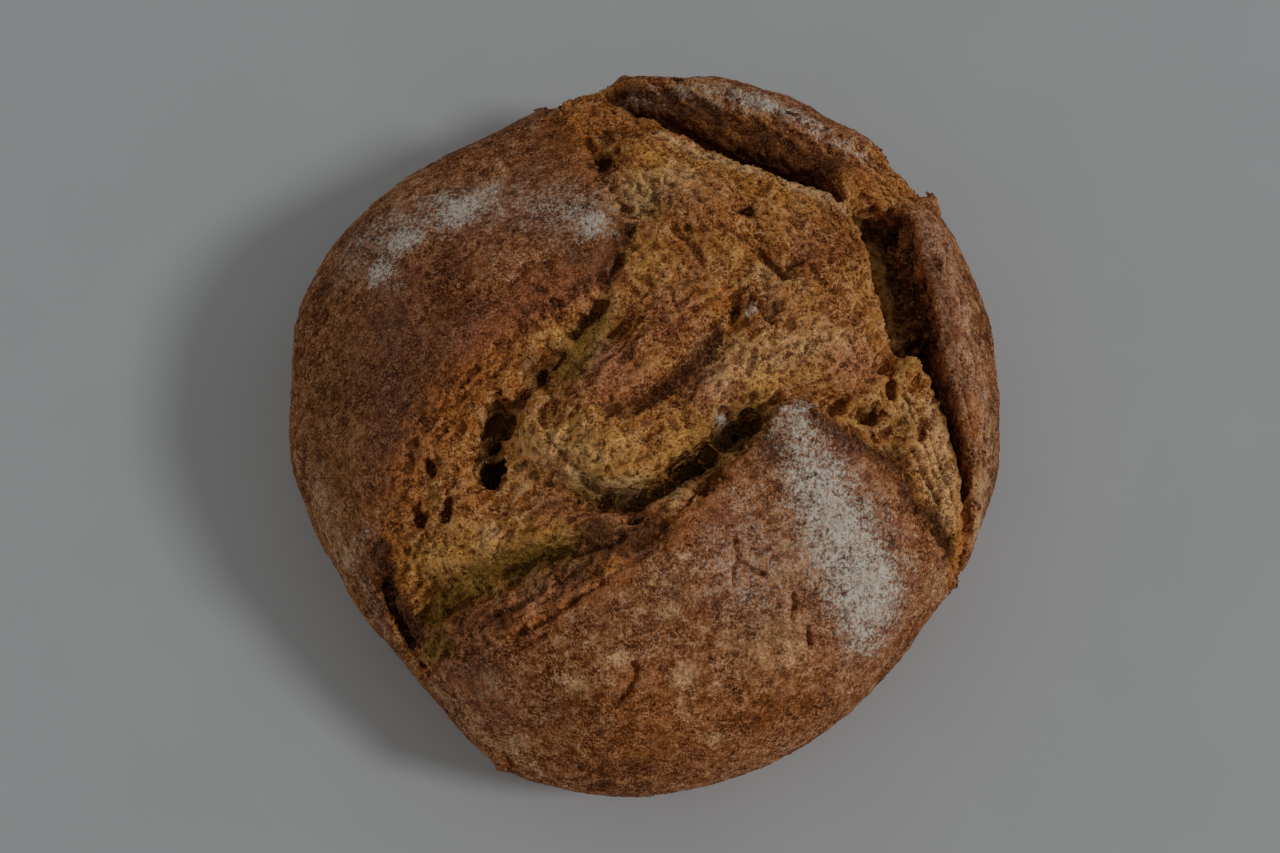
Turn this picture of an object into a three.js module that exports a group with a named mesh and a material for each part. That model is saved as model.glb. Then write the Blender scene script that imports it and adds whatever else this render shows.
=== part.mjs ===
// A round rye loaf, scored with a cross and baked until the crust burst.
// Millimetres, +Z up. The origin is the middle of the loaf's box, on the surface that it stands on.
// The loaf is one solid. Its skin is a low dome on a round outline. What the oven did to it is relief on
// that skin: the torn middle, the lifted crust edges, the cracks and the pores.
// Places on the skin are given as [u, v]: millimetres walked along the skin from the crown,
// u towards +X and v towards +Y.

import * as THREE from 'three';
import { ImprovedNoise } from 'three/addons/math/ImprovedNoise.js';

// The plain dome, before it burst.
const RADIUS = 110; // mean radius at the widest ring
const HEIGHT = 88; // crown above the underside
const WAIST_HEIGHT = 30; // height of the widest ring
const FOOT_SHARE = 0.8; // radius of the flat underside over RADIUS
const FOOT_BLEND = 14; // relief fades out over this length of skin above the underside

// The outline isn't a true circle. Waves run round it: [waves, share of the radius, phase in degrees].
const OUTLINE_WAVES = [
  [2, 0.018, 147.6],
  [3, 0.03, 112.8],
  [4, 0.016, -47.8],
  [6, 0.005, 165],
  [7, 0.0056, -48],
];

// The torn middle, where the four crust plates have drawn apart: a star with its points between the plates.
const TEAR = [
  [-78, -98], [-83, -84], [-87, -70], [-85, -54], [-79, -38], [-69, -20], [-56, -6], [-41, 6], [-26, 17],
  [-15, 26], [-6.5, 38], [-12, 52], [-18, 70], [-24, 86], [-33, 102], [-40, 124], [-22, 124], [-6, 118],
  [10, 111], [25, 103], [37, 95], [50, 89], [64, 86], [78, 87], [98, 100], [107, 85], [97, 72], [88, 64],
  [81, 54], [83, 45], [86, 34], [88, 22], [91, 8], [97, -7], [103, -20], [108, -34], [114, -48], [122, -70],
  [106, -62], [96, -54], [84, -45], [77, -33], [66, -27], [54, -20], [44, -13], [34, -22], [24, -34],
  [10, -46], [-4, -56], [-18, -67], [-32, -76], [-48, -83], [-64, -89],
];
const TEAR_DEPTH = 9; // the floor of the tear under the skin
const TEAR_EDGE = 1.5; // the width over which the crust breaks off into the tear

// Where the floor of the tear lies deeper: a line of places, with its half width and its extra depth.
// Their sides are steep, and the creases further down are rounded.
const LINE_SHARPNESS = { trench: 4, crease: 2 };
const LINE_END_WEAR = 1.5; // distance past the end of a line counts this many times
const TRENCHES = [
  { line: [[67, 56], [71, 44], [74, 30], [77, 18], [79, 12]], half: 8, depth: 24 },
  { line: [[86, 11], [92, 0], [98, -10], [103, -22], [107, -34]], half: 4.5, depth: 14 },
  { line: [[-6, 96], [5, 88], [16, 80], [27, 73], [38, 67], [48, 63], [57, 59]], half: 4.5, depth: 13 },
  { line: [[-4, -38.5], [8, -36]], half: 4, depth: 3 },
  { line: [[10, -34], [19, -29.5]], half: 4.2, depth: 9 },
  { line: [[24, -25], [31.5, -20]], half: 5, depth: 13 },
  { line: [[-10, -51.5], [-24, -56], [-38, -60.5], [-54, -66], [-68, -74]], half: 6, depth: 7 },
];

// The burst: the crumb that pushed up through the tear. Its south-west end is a tongue.
const BURST = [
  [-30, 102], [-22, 84], [-19, 68], [-13, 52], [-10, 41], [-12, 29], [-17, 18], [-25, 7], [-32, -4],
  [-37, -14], [-37, -23], [-33, -31], [-25, -36], [-12, -38], [2, -37], [12, -31], [20, -22], [27, -15],
  [36, -12], [46, -9], [56, -11], [63, -7], [69, 0], [73, 8], [71, 20], [67, 34], [63, 46], [54, 56],
  [43, 60.5], [32, 65], [21, 71], [11, 78.5], [1, 87], [-9, 96], [-18, 106],
];
const BURST_RIM = -0.5; // height of its shoulder over the skin
const BURST_CROWN = 6; // height of its middle over the skin
const BURST_SHOULDER = 34; // width over which it goes on rising
const BURST_WALL = { east: 3.5, flank: 11, north: 4 }; // width of its edge, steep on the east side
const BURST_ROUND = 2.5; // rounding where it meets the floor

// The stretched shelf along the north-west plate, down to the strand that runs back under the tongue.
const SHELF = [
  [-22, 32], [-9, 27], [-15, 16], [-23, 8], [-31, -1], [-38, -10], [-45, -16], [-51, -26], [-51, -38],
  [-46, -44], [-36, -43], [-22, -42], [-8, -42], [4, -41], [16, -37], [8, -44], [-6, -49], [-20, -52],
  [-36, -55], [-52, -58], [-64, -61], [-74, -67], [-82, -80], [-96, -72], [-94, -50], [-82, -22], [-64, 0],
  [-44, 18],
];
const SHELF_HEIGHT = -2.5;
const SHELF_WALL = 4;
const SHELF_ROUND = 2;

// The stringy crumb between the south and east plates.
const STRINGS = [
  [54, -17], [61, -9], [68, -1], [74, 4.5], [82, 6], [88, 1.5], [93, -8], [98, -20], [103, -33], [108, -47],
  [118, -68], [104, -60], [94, -52], [82, -43], [74, -32], [64, -25],
];
const STRINGS_HEIGHT = -0.5;
const STRINGS_WALL = 4;
const STRINGS_ROUND = 2;

// The torn crumb that still joins the north plate to the east one.
const BRIDGE = [
  [52, 62], [64, 55], [73, 57], [80, 61], [87, 68], [97, 80], [104, 94], [94, 106], [78, 94], [64, 84],
  [54, 74],
];
const BRIDGE_HEIGHT = -2.5;
const BRIDGE_WALL = 8;
const BRIDGE_ROUND = 3;

// A lump's wall starts this share of its width outside its outline.
const WALL_START = 0.2;

// The width over which a plate's torn face falls away.
const FACE_WIDTH = { north: 11, east: 9, south: 19, steep: 4 };

// Crust edges that stand proud: [u, v, rise, reach].
const LIFTED_EDGES = [
  [-12, 43, 3.5, 18],
  [46, -16, 3, 18],
  [24, -37, 2.5, 16],
  [-4, -60, 1.5, 16],
  [66, 88, 3, 14],
  [46, 98, 3.5, 18],
  [26, 108, 3.5, 18],
  [2, 118, 3, 16],
  [-8, 120, 4.5, 4],
  [-47, -121, 3, 3],
  [88, 50, 3, 14],
  [92, 24, 3, 14],
  [99, -6, 2.5, 12],
  [93, 66, 4.5, 4.5],
  [-90, -62, 1, 14],
];

// Creases: a line of places, with its half width and its depth.
const CREASES = [
  { line: [[-8, -18], [2, -14], [10, -9], [16, -1], [22, 8], [25, 14]], half: 5, depth: 4.5 },
  { line: [[29, 33], [34, 27], [39, 21]], half: 2.2, depth: 2.6 },
  { line: [[9, 37], [14, 31], [18, 25]], half: 2.4, depth: 1.6 },
  { line: [[24, 14], [27, 10]], half: 2, depth: 2 },
  { line: [[33, 14], [35, 10]], half: 2, depth: 2 },
  { line: [[-84, -64], [-82, -75], [-77, -86], [-74, -92]], half: 2.4, depth: 6 },
  { line: [[-14, 15], [-22, 5], [-30, -5], [-37, -13]], half: 2.4, depth: 3 },
  { line: [[-6, 9], [-14, 3], [-21, -4], [-27, -11], [-29, -18]], half: 5, depth: 6 },
  { line: [[-6, 96], [6, 87.5], [17, 79.5], [28, 72.5], [40, 66], [56, 59.5]], half: 2.6, depth: 5 },
  { line: [[-10, 29], [-6, 41], [-12, 57], [-18, 76]], half: 2, depth: 3 },
  { line: [[-34, -22], [-30, -32], [-22, -38], [-8, -40], [4, -38]], half: 2.6, depth: 2.4 },
  { line: [[58, -15], [68, -18], [78, -26], [88, -40]], half: 2.4, depth: 2.2 },
  { line: [[80, -4], [89, -16], [97, -32]], half: 2, depth: 1.8 },
  { line: [[73, -8], [82, -18], [90, -34]], half: 2.2, depth: 1.6 },
  { line: [[-60, -84], [-42, -76], [-26, -66], [-12, -56]], half: 2.4, depth: 1.8 },
];

// Open pores: [u, v, half length, half width, degrees of the length from +X, depth].
const PORE_LIP = { size: 1.3, slope: 1.15 }; // a pore's mouth over its size, and how steeply it falls in
const PORES = [
  [25, -22, 6, 4, 20, 6],
  [12, -33, 5, 3, 20, 5],
  [-46.5, -32, 5.3, 3.6, 85, 13],
  [-42, -18.5, 6.6, 4.2, 62, 11],
  [-30, -7, 3.4, 2.6, 50, 4],
  [27.5, 44.5, 3.2, 2.6, 0, 4.5],
  [-15, 67, 3, 2.2, 0, 3],
  [-7, 47, 2.8, 2.2, 40, 2.5],
  [-64.5, -30, 2.6, 1.6, 85, 4],
  [-69, -44, 4.5, 2.4, 80, 5],
  [-60.5, -44, 5, 2.1, 85, 4.5],
  [-73, -55, 3.6, 2.4, 20, 3.5],
  [65.5, -15, 5, 3.1, 20, 6],
  [72.5, -6, 3.8, 2, 85, 5],
  [82, -2.5, 4, 3, 80, 4],
  [84.5, -17, 3.8, 2, 70, 4.5],
  [75, -27, 3, 2.4, 0, 3.5],
  [-4, -44, 3, 2, 0, 3.5],
  [72, 0, 3, 2.4, 0, 3],
];

// Uneven relief, as [length, height] for each size.
const SKIN_WAVES = [[46, 1.1], [19, 0.45]];
const CRUMB_WAVES = [[21, 1.7], [10, 0.8]];
const STREAK = { along: 34, across: 9, height: 0.8, degrees: 42 };
// The wander of the torn edges: waves as [length over 2 pi, height, twist].
const RAGGED = [[3.1, 0.8, 0.6], [1.55, 0.5, -0.9], [0.8, 0.28, 0.5]];

// Raised relief stands square to the skin. Sunken relief goes plumb down, out to this reach from the crown.
const PLUMB = { reach: 138, fade: 26 };

// How finely the skin is cut into triangles.
const COARSE_LEVEL = 5; // the skin starts as a square of 2^level cells a side
const FINE_LEVEL = 8;
const CHORD_ERROR = 0.9; // a cell is cut in four while it is further than this from the true shape
const FINEST_EASE = 2.7; // the last cut waits for an error this many times larger
const SNAP_SHARE = 0.42; // a corner this share of a cell from a torn edge is moved onto it
const UNDERSIDE_RINGS = 3;

const CRUST_COLOUR = 0xa26b43;

const noise = new ImprovedNoise();

function smoothStep(x) {
  const t = THREE.MathUtils.clamp(x, 0, 1);
  return t * t * (3 - 2 * t);
}

// The higher of two heights, with the corner between them rounded over a length.
function softMax(a, b, round) {
  const h = Math.max(round - Math.abs(a - b), 0) / round;
  return Math.max(a, b) + h * h * round * 0.25;
}

function outlineShare(angle) {
  let share = 1;
  for (const [count, size, phase] of OUTLINE_WAVES)
    share += size * Math.cos(count * angle - THREE.MathUtils.degToRad(phase));
  return share;
}

// The dome's section from the crown to the edge of the underside, by distance walked along it.
function sectionTable(steps = 400) {
  const points = [];
  for (let i = 0; i <= steps; i++) {
    const turn = (i / steps) * Math.PI * 0.5;
    points.push([RADIUS * Math.sin(turn), WAIST_HEIGHT + (HEIGHT - WAIST_HEIGHT) * Math.cos(turn)]);
  }
  for (let i = 1; i <= steps; i++) {
    const turn = (i / steps) * Math.PI * 0.5;
    points.push([
      RADIUS * (FOOT_SHARE + (1 - FOOT_SHARE) * Math.cos(turn)),
      WAIST_HEIGHT * (1 - Math.sin(turn)),
    ]);
  }
  const walked = [0];
  for (let i = 1; i < points.length; i++) {
    const [r0, z0] = points[i - 1];
    const [r1, z1] = points[i];
    walked.push(walked[i - 1] + Math.hypot(r1 - r0, z1 - z0));
  }
  return { points, walked };
}

const section = sectionTable();
const SKIN_LENGTH = section.walked.at(-1);

// Radius, height and outward direction of the section at a walked distance.
function sectionAt(distance) {
  const { points, walked } = section;
  let low = 0;
  let high = walked.length - 1;
  while (high - low > 1) {
    const middle = (low + high) >> 1;
    if (walked[middle] > distance) high = middle;
    else low = middle;
  }
  const share = THREE.MathUtils.clamp((distance - walked[low]) / (walked[high] - walked[low]), 0, 1);
  const [r0, z0] = points[low];
  const [r1, z1] = points[high];
  const length = Math.hypot(r1 - r0, z1 - z0);
  return {
    radius: r0 + (r1 - r0) * share,
    height: z0 + (z1 - z0) * share,
    outward: (z0 - z1) / length,
    upward: (r1 - r0) / length,
  };
}

// The point of the loaf at [u, v] on the skin and a height over the skin.
function onLoaf(u, v, over) {
  const walked = Math.hypot(u, v);
  const angle = Math.atan2(v, u);
  const at = sectionAt(walked);
  const plumb = over < 0 ? smoothStep((PLUMB.reach - walked) / PLUMB.fade) : 0;
  const way = new THREE.Vector2(at.outward * (1 - plumb), at.upward * (1 - plumb) + plumb);
  const move = way.normalize().multiplyScalar(over);
  const radius = at.radius * outlineShare(angle) + move.x;
  return new THREE.Vector3(radius * Math.cos(angle), radius * Math.sin(angle), at.height + move.y);
}

function waves(sizes, u, v, seed = 4.7) {
  let sum = 0;
  sizes.forEach(([length, height], i) => {
    sum += height * 2 * noise.noise(u / length + 7.3 * i, v / length - 3.1 * i, seed + i);
  });
  return sum;
}

function wander(u, v, shift) {
  let sum = 0;
  for (const [length, height, twist] of RAGGED) {
    const along = (u + twist * v) / length + shift;
    const across = (v - twist * u) / length + 2 * shift;
    sum += height * Math.sin(along) * Math.cos(across);
  }
  return sum;
}

// A closed outline, rounded through its points and then roughened.
function tornOutline(points, pieces = 5) {
  const corners = points.map(([u, v]) => new THREE.Vector3(u, v, 0));
  const curve = new THREE.CatmullRomCurve3(corners, true, 'centripetal');
  const rounded = curve.getPoints(points.length * pieces).slice(0, -1);
  return rounded.map(({ x, y }) => [x + wander(x, y, 0), y + wander(x, y, 2)]);
}

function nearestOnSegment(u, v, [u0, v0], [u1, v1]) {
  const du = u1 - u0;
  const dv = v1 - v0;
  const share = THREE.MathUtils.clamp(((u - u0) * du + (v - v0) * dv) / (du * du + dv * dv || 1), 0, 1);
  const place = [u0 + share * du, v0 + share * dv];
  return { place, share, away: Math.hypot(u - place[0], v - place[1]) };
}

// The nearest place on an outline, and the distance to it, positive inside the outline.
function nearestOnOutline(outline, u, v) {
  let nearest = { away: Infinity };
  let inside = false;
  for (let i = 0, j = outline.length - 1; i < outline.length; j = i++) {
    const near = nearestOnSegment(u, v, outline[j], outline[i]);
    if (near.away < nearest.away) nearest = near;
    const [u0, v0] = outline[i];
    const [u1, v1] = outline[j];
    if (v0 > v !== v1 > v && u < ((u1 - u0) * (v - v0)) / (v1 - v0) + u0) inside = !inside;
  }
  return { place: nearest.place, inside: inside ? nearest.away : -nearest.away };
}

function insideBy(outline, u, v) {
  return nearestOnOutline(outline, u, v).inside;
}

const tear = tornOutline(TEAR);
const burst = tornOutline(BURST);
const shelf = tornOutline(SHELF);
const strings = tornOutline(STRINGS);
const bridge = tornOutline(BRIDGE);

// Long strands drawn out by the tear, running from the south-west to the north-east.
function streaks(u, v) {
  const turn = THREE.MathUtils.degToRad(STREAK.degrees);
  const along = u * Math.cos(turn) + v * Math.sin(turn);
  const across = v * Math.cos(turn) - u * Math.sin(turn);
  return STREAK.height * 2 * noise.noise(along / STREAK.along, across / STREAK.across, 11.5);
}

// The width over which a plate's torn face falls away, near a place.
function faceWidth(u, v) {
  const north = smoothStep((v - 55) / 20) * smoothStep((88 - u) / 16);
  const east = smoothStep((u - 72) / 8) * smoothStep((v - 4) / 16) * (1 - north);
  const south = smoothStep((-30 - v) / 16) * smoothStep((26 - u) / 24);
  const extra = [north * FACE_WIDTH.north, east * FACE_WIDTH.east, south * FACE_WIDTH.south];
  return Math.max(FACE_WIDTH.steep, ...extra);
}

function lifted(u, v) {
  let rise = 0;
  for (const [eu, ev, height, reach] of LIFTED_EDGES) {
    const away = Math.hypot(u - eu, v - ev) / reach;
    rise = Math.max(rise, height * Math.exp(-away * away));
  }
  return rise;
}

// How deep a set of lines cuts at a place.
function linesDepth(lines, u, v, sharpness) {
  let depth = 0;
  for (const { line, half, depth: full } of lines) {
    let away = Infinity;
    const last = line.length - 2;
    line.slice(0, -1).forEach((start, i) => {
      const near = nearestOnSegment(u, v, start, line[i + 1]);
      const pastEnd = (i === 0 && near.share === 0) || (i === last && near.share === 1);
      away = Math.min(away, near.away * (pastEnd ? LINE_END_WEAR : 1));
    });
    depth = Math.max(depth, full * Math.exp(-((away / half) ** sharpness)));
  }
  return depth;
}

function pores(u, v) {
  let depth = 0;
  for (const [pu, pv, long, wide, degrees, deep] of PORES) {
    const turn = THREE.MathUtils.degToRad(degrees);
    const a = ((u - pu) * Math.cos(turn) + (v - pv) * Math.sin(turn)) / long;
    const b = ((v - pv) * Math.cos(turn) - (u - pu) * Math.sin(turn)) / wide;
    const within = (PORE_LIP.size - Math.hypot(a, b)) * PORE_LIP.slope;
    depth = Math.max(depth, deep * smoothStep(within));
  }
  return depth;
}

// The width of the burst's edge near a place.
function burstWall(u, v) {
  const flank = smoothStep((10 - u) / 18) * smoothStep((36 - v) / 12) * smoothStep((v + 32) / 12);
  const north = smoothStep((v - 50) / 14) * smoothStep((60 - u) / 14);
  const { east, flank: wide, north: slope } = BURST_WALL;
  return east + (wide - east) * flank + (slope - east) * north;
}

// The height over the skin of a lump that stands on the floor, by how far inside its outline a place is.
function lump(inside, wall, height, floor) {
  return floor + (height - floor) * Math.sqrt(smoothStep(inside / wall + WALL_START));
}

// Height over the plain dome at a place on the skin.
function relief(u, v) {
  const inTear = insideBy(tear, u, v);
  const skin = waves(SKIN_WAVES, u, v) + lifted(u, v);
  if (inTear <= 0) return skin;

  const floor = -TEAR_DEPTH - linesDepth(TRENCHES, u, v, LINE_SHARPNESS.trench);
  const face = skin + (floor - skin) * smoothStep(inTear / faceWidth(u, v));
  const inBurst = insideBy(burst, u, v);
  const burstTop = BURST_RIM + (BURST_CROWN - BURST_RIM) * smoothStep(inBurst / BURST_SHOULDER);

  let torn = face;
  torn = softMax(torn, lump(inBurst, burstWall(u, v), burstTop, floor), BURST_ROUND);
  torn = softMax(torn, lump(insideBy(shelf, u, v), SHELF_WALL, SHELF_HEIGHT, floor), SHELF_ROUND);
  torn = softMax(torn, lump(insideBy(strings, u, v), STRINGS_WALL, STRINGS_HEIGHT, floor), STRINGS_ROUND);
  torn = softMax(torn, lump(insideBy(bridge, u, v), BRIDGE_WALL, BRIDGE_HEIGHT, floor), BRIDGE_ROUND);
  torn += waves(CRUMB_WAVES, u, v) + streaks(u, v);
  torn -= linesDepth(CREASES, u, v, LINE_SHARPNESS.crease) + pores(u, v);
  return THREE.MathUtils.lerp(skin, torn, smoothStep(inTear / TEAR_EDGE));
}

// The skin is a square of cells, cut in four where the relief asks for it.
// A grid place is [i, j], counted in half cells of the finest level.
const GRID = 2 ** (FINE_LEVEL + 1);
const keyOf = (i, j) => i * (GRID + 1) + j;

// The square is drawn into a disc, so that its rim is the edge of the underside.
function gridPlace(i, j) {
  const a = (2 * i) / GRID - 1;
  const b = (2 * j) / GRID - 1;
  return [SKIN_LENGTH * a * Math.sqrt(1 - (b * b) / 2), SKIN_LENGTH * b * Math.sqrt(1 - (a * a) / 2)];
}

function skinPoint([u, v]) {
  const fade = smoothStep((SKIN_LENGTH - Math.hypot(u, v)) / FOOT_BLEND);
  return onLoaf(u, v, fade > 0 ? relief(u, v) * fade : 0);
}

const points = new Map();

function gridPoint(i, j) {
  const key = keyOf(i, j);
  if (!points.has(key)) points.set(key, skinPoint(gridPlace(i, j)));
  return points.get(key);
}

const CORNERS = [[0, 0], [1, 0], [1, 1], [0, 1]];
const cornersOf = ([i, j, size]) => CORNERS.map(([a, b]) => [i + a * size, j + b * size]);

// How far the true shape lies from a flat cell.
function cellError(cell) {
  const [i, j, size] = cell;
  const corners = cornersOf(cell).map(([a, b]) => gridPoint(a, b));
  let worst = 0;
  for (const a of [0.25, 0.5, 0.75])
    for (const b of [0.25, 0.5, 0.75]) {
      const flat = new THREE.Vector3();
      const shares = [(1 - a) * (1 - b), a * (1 - b), a * b, (1 - a) * b];
      corners.forEach((corner, k) => flat.addScaledVector(corner, shares[k]));
      const real = gridPoint(i + Math.round(a * size), j + Math.round(b * size));
      worst = Math.max(worst, flat.distanceTo(real));
    }
  return worst;
}

function quarters([i, j, size]) {
  const half = size / 2;
  return CORNERS.map(([a, b]) => [i + a * half, j + b * half, half]);
}

function cutCell(cell, level) {
  const allowed = CHORD_ERROR * (level === FINE_LEVEL - 1 ? FINEST_EASE : 1);
  const cut = level < COARSE_LEVEL || (level < FINE_LEVEL && cellError(cell) > allowed);
  return cut ? quarters(cell).flatMap((quarter) => cutCell(quarter, level + 1)) : [cell];
}

// The corners that lie on one edge of a cell, its neighbours' among them, in order.
function walkEdge(corners, [i, j], [di, dj], size) {
  const found = [];
  for (let k = 0; k < size; k += 2) {
    const at = [i + di * k, j + dj * k];
    if (corners.has(keyOf(...at))) found.push(at);
  }
  return found;
}

function walkRound(corners, cell) {
  const size = cell[2];
  const [a, b, c, d] = cornersOf(cell);
  return [
    ...walkEdge(corners, a, [1, 0], size),
    ...walkEdge(corners, b, [0, 1], size),
    ...walkEdge(corners, c, [-1, 0], size),
    ...walkEdge(corners, d, [0, -1], size),
  ];
}

// A cell is crowded when it has more than two neighbours along an edge.
function crowded(corners, cell) {
  const quarter = cell[2] / 4;
  if (quarter < 2) return false;
  return walkRound(corners, cell).some(([i, j]) => (i / quarter) % 2 === 1 || (j / quarter) % 2 === 1);
}

// All cells, cut further until none is crowded.
function evenedCells() {
  let cells = cutCell([0, 0, GRID], 0);
  for (;;) {
    const corners = new Set(cells.flatMap(cornersOf).map(([i, j]) => keyOf(i, j)));
    const next = cells.flatMap((cell) => (crowded(corners, cell) ? quarters(cell) : [cell]));
    if (next.length === cells.length) return { cells, corners };
    cells = next;
  }
}

// The corners near a torn edge are moved onto it, so that the edge is drawn as a line.
function snapCorners(cells) {
  const smallest = new Map();
  for (const cell of cells)
    for (const [i, j] of cornersOf(cell)) {
      const key = keyOf(i, j);
      const known = smallest.get(key);
      if (!known || known.size > cell[2]) smallest.set(key, { i, j, size: cell[2] });
    }
  for (const [key, { i, j, size }] of smallest) {
    const [u, v] = gridPlace(i, j);
    const { place, inside } = nearestOnOutline(tear, u, v);
    const reach = (SNAP_SHARE * size * 2 * SKIN_LENGTH) / GRID;
    if (Math.abs(inside) < reach) points.set(key, skinPoint(place));
  }
}

function buildLoaf() {
  const { cells, corners } = evenedCells();
  snapCorners(cells);

  const positions = [];
  const numbers = new Map();
  const faces = [];
  const addPoint = (p) => positions.push(p.x, p.y, p.z) / 3 - 1;
  const numberOf = (i, j) => {
    const key = keyOf(i, j);
    if (!numbers.has(key)) numbers.set(key, addPoint(gridPoint(i, j)));
    return numbers.get(key);
  };

  for (const cell of cells) {
    const [i, j, size] = cell;
    const ring = walkRound(corners, cell);
    const around = ring.map(([a, b]) => numberOf(a, b));
    if (ring.length === 4) {
      // The diagonal that lies nearer the true shape.
      const [p, q, r, s] = ring.map(([a, b]) => gridPoint(a, b));
      const middle = gridPoint(i + size / 2, j + size / 2);
      const first = p.clone().lerp(r, 0.5).distanceTo(middle);
      const second = q.clone().lerp(s, 0.5).distanceTo(middle);
      const [a, b, c, d] = first > second ? [...around.slice(1), around[0]] : around;
      faces.push(a, b, c, a, c, d);
    } else {
      const middle = numberOf(i + size / 2, j + size / 2);
      around.forEach((here, k) => faces.push(middle, here, around[(k + 1) % around.length]));
    }
  }

  // The flat underside: rings drawn in from the rim to the centre.
  let rim = walkRound(corners, [0, 0, GRID]).map(([i, j]) => numberOf(i, j));
  const rimPoints = rim.map((n) => new THREE.Vector3(...positions.slice(3 * n, 3 * n + 3)));
  for (let ring = UNDERSIDE_RINGS - 1; ring > 0; ring--) {
    const inner = rimPoints.map((p) => addPoint(p.clone().multiplyScalar(ring / UNDERSIDE_RINGS).setZ(0)));
    rim.forEach((here, k) => {
      const next = (k + 1) % rim.length;
      faces.push(rim[next], here, inner[k], rim[next], inner[k], inner[next]);
    });
    rim = inner;
  }
  const centre = addPoint(new THREE.Vector3(0, 0, 0));
  rim.forEach((here, k) => faces.push(rim[(k + 1) % rim.length], here, centre));

  const geometry = new THREE.BufferGeometry();
  geometry.setAttribute('position', new THREE.Float32BufferAttribute(positions, 3));
  geometry.setIndex(faces);
  // The dome is modelled round its own axis, and the finished loaf is then centred on its box.
  geometry.computeBoundingBox();
  const middle = geometry.boundingBox.getCenter(new THREE.Vector3());
  geometry.translate(-middle.x, -middle.y, 0);
  geometry.computeVertexNormals();
  return geometry;
}

const crust = new THREE.MeshStandardMaterial({ color: CRUST_COLOUR, roughness: 0.85, metalness: 0 });
const loaf = new THREE.Mesh(buildLoaf(), crust);
loaf.name = 'loaf';

const group = new THREE.Group();
group.name = 'rye_loaf';
group.add(loaf);

export default group;
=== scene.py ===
import math

import bpy
import numpy as np
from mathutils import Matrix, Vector
from mathutils.kdtree import KDTree


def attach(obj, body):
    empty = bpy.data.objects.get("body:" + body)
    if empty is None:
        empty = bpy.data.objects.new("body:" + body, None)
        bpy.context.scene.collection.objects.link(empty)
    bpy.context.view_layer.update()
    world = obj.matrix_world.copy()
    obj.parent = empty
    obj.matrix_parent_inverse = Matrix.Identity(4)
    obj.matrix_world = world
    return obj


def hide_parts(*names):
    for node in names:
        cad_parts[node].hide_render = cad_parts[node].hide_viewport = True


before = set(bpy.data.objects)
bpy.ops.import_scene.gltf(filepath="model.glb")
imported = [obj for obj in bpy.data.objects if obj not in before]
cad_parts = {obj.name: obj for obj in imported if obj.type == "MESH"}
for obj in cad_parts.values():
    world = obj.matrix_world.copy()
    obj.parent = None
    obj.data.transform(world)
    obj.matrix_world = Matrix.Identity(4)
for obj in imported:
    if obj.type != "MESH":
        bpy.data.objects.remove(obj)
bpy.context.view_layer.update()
print("frame is in")

mm = 0.001

# the photo looks down from the south at 72 degrees
cameraSet = {
    "lens": 50,
    "sensorWidth": 36,
    "clipStart": 0.01,
    "target": (-0.94 * mm, -1.41 * mm, 30 * mm),
    "distance": 547.9 * mm,
    "elevation": 72,
}


def placeCamera(setup):
    elevation = math.radians(setup["elevation"])
    target = Vector(setup["target"])
    towards = Vector((0, -math.cos(elevation), math.sin(elevation)))
    bpy.ops.object.camera_add(location=target + towards * setup["distance"])
    cam = bpy.context.object
    cam.name = "photoCamera"
    cam.rotation_euler = (-towards).to_track_quat("-Z", "Y").to_euler()
    cam.data.lens = setup["lens"]
    cam.data.sensor_width = setup["sensorWidth"]
    cam.data.clip_start = setup["clipStart"]
    bpy.context.scene.camera = cam


placeCamera(cameraSet)


def deselectAll():
    bpy.ops.object.select_all(action="DESELECT")


def selectOnly(thing):
    deselectAll()
    thing.select_set(True)
    bpy.context.view_layer.objects.active = thing


def applyModifier(thing, name):
    selectOnly(thing)
    bpy.ops.object.modifier_apply(modifier=name)


def editAll(thing, operator, **options):
    selectOnly(thing)
    bpy.ops.object.mode_set(mode="EDIT")
    bpy.ops.mesh.select_all(action="SELECT")
    operator(**options)
    bpy.ops.object.mode_set(mode="OBJECT")


# places on the loaf's skin are (u, v) in mm, walked along it from the crown, u to the right and v to the back
skinMap = {
    "centre": (1.0, 2.0),
    "radius": 110.0,
    "height": 88.0,
    "waist": 30.0,
    "foot": 0.8,
    # the side lies beyond this radius, below this height, or this near the foot, each with its soft width
    "beyond": (100, 6),
    "below": (40, 10),
    "nearFoot": (3.5, 2),
    "waves": [(2, 0.018, 147.6), (3, 0.03, 112.8), (4, 0.016, -47.8), (6, 0.005, 165), (7, 0.0056, -48)],
    "ragged": [(3.1, 0.8, 0.6), (1.55, 0.5, -0.9), (0.8, 0.28, 0.5)],
}

# the torn middle, where the crust plates drew apart
tearOutline = [
    (-78, -98), (-83, -84), (-87, -70), (-85, -54), (-79, -38), (-69, -20), (-56, -6), (-41, 6), (-26, 17),
    (-15, 26), (-6.5, 38), (-12, 52), (-18, 70), (-24, 86), (-33, 102), (-40, 124), (-22, 124), (-6, 118),
    (10, 111), (25, 103), (37, 95), (50, 89), (64, 86), (78, 87), (98, 100), (107, 85), (97, 72), (88, 64),
    (81, 54), (83, 45), (86, 34), (88, 22), (91, 8), (97, -7), (103, -20), (108, -34), (114, -48), (122, -70),
    (106, -62), (96, -54), (84, -45), (77, -33), (66, -27), (54, -20), (44, -13), (34, -22), (24, -34),
    (10, -46), (-4, -56), (-18, -67), (-32, -76), (-48, -83), (-64, -89),
]


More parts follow.
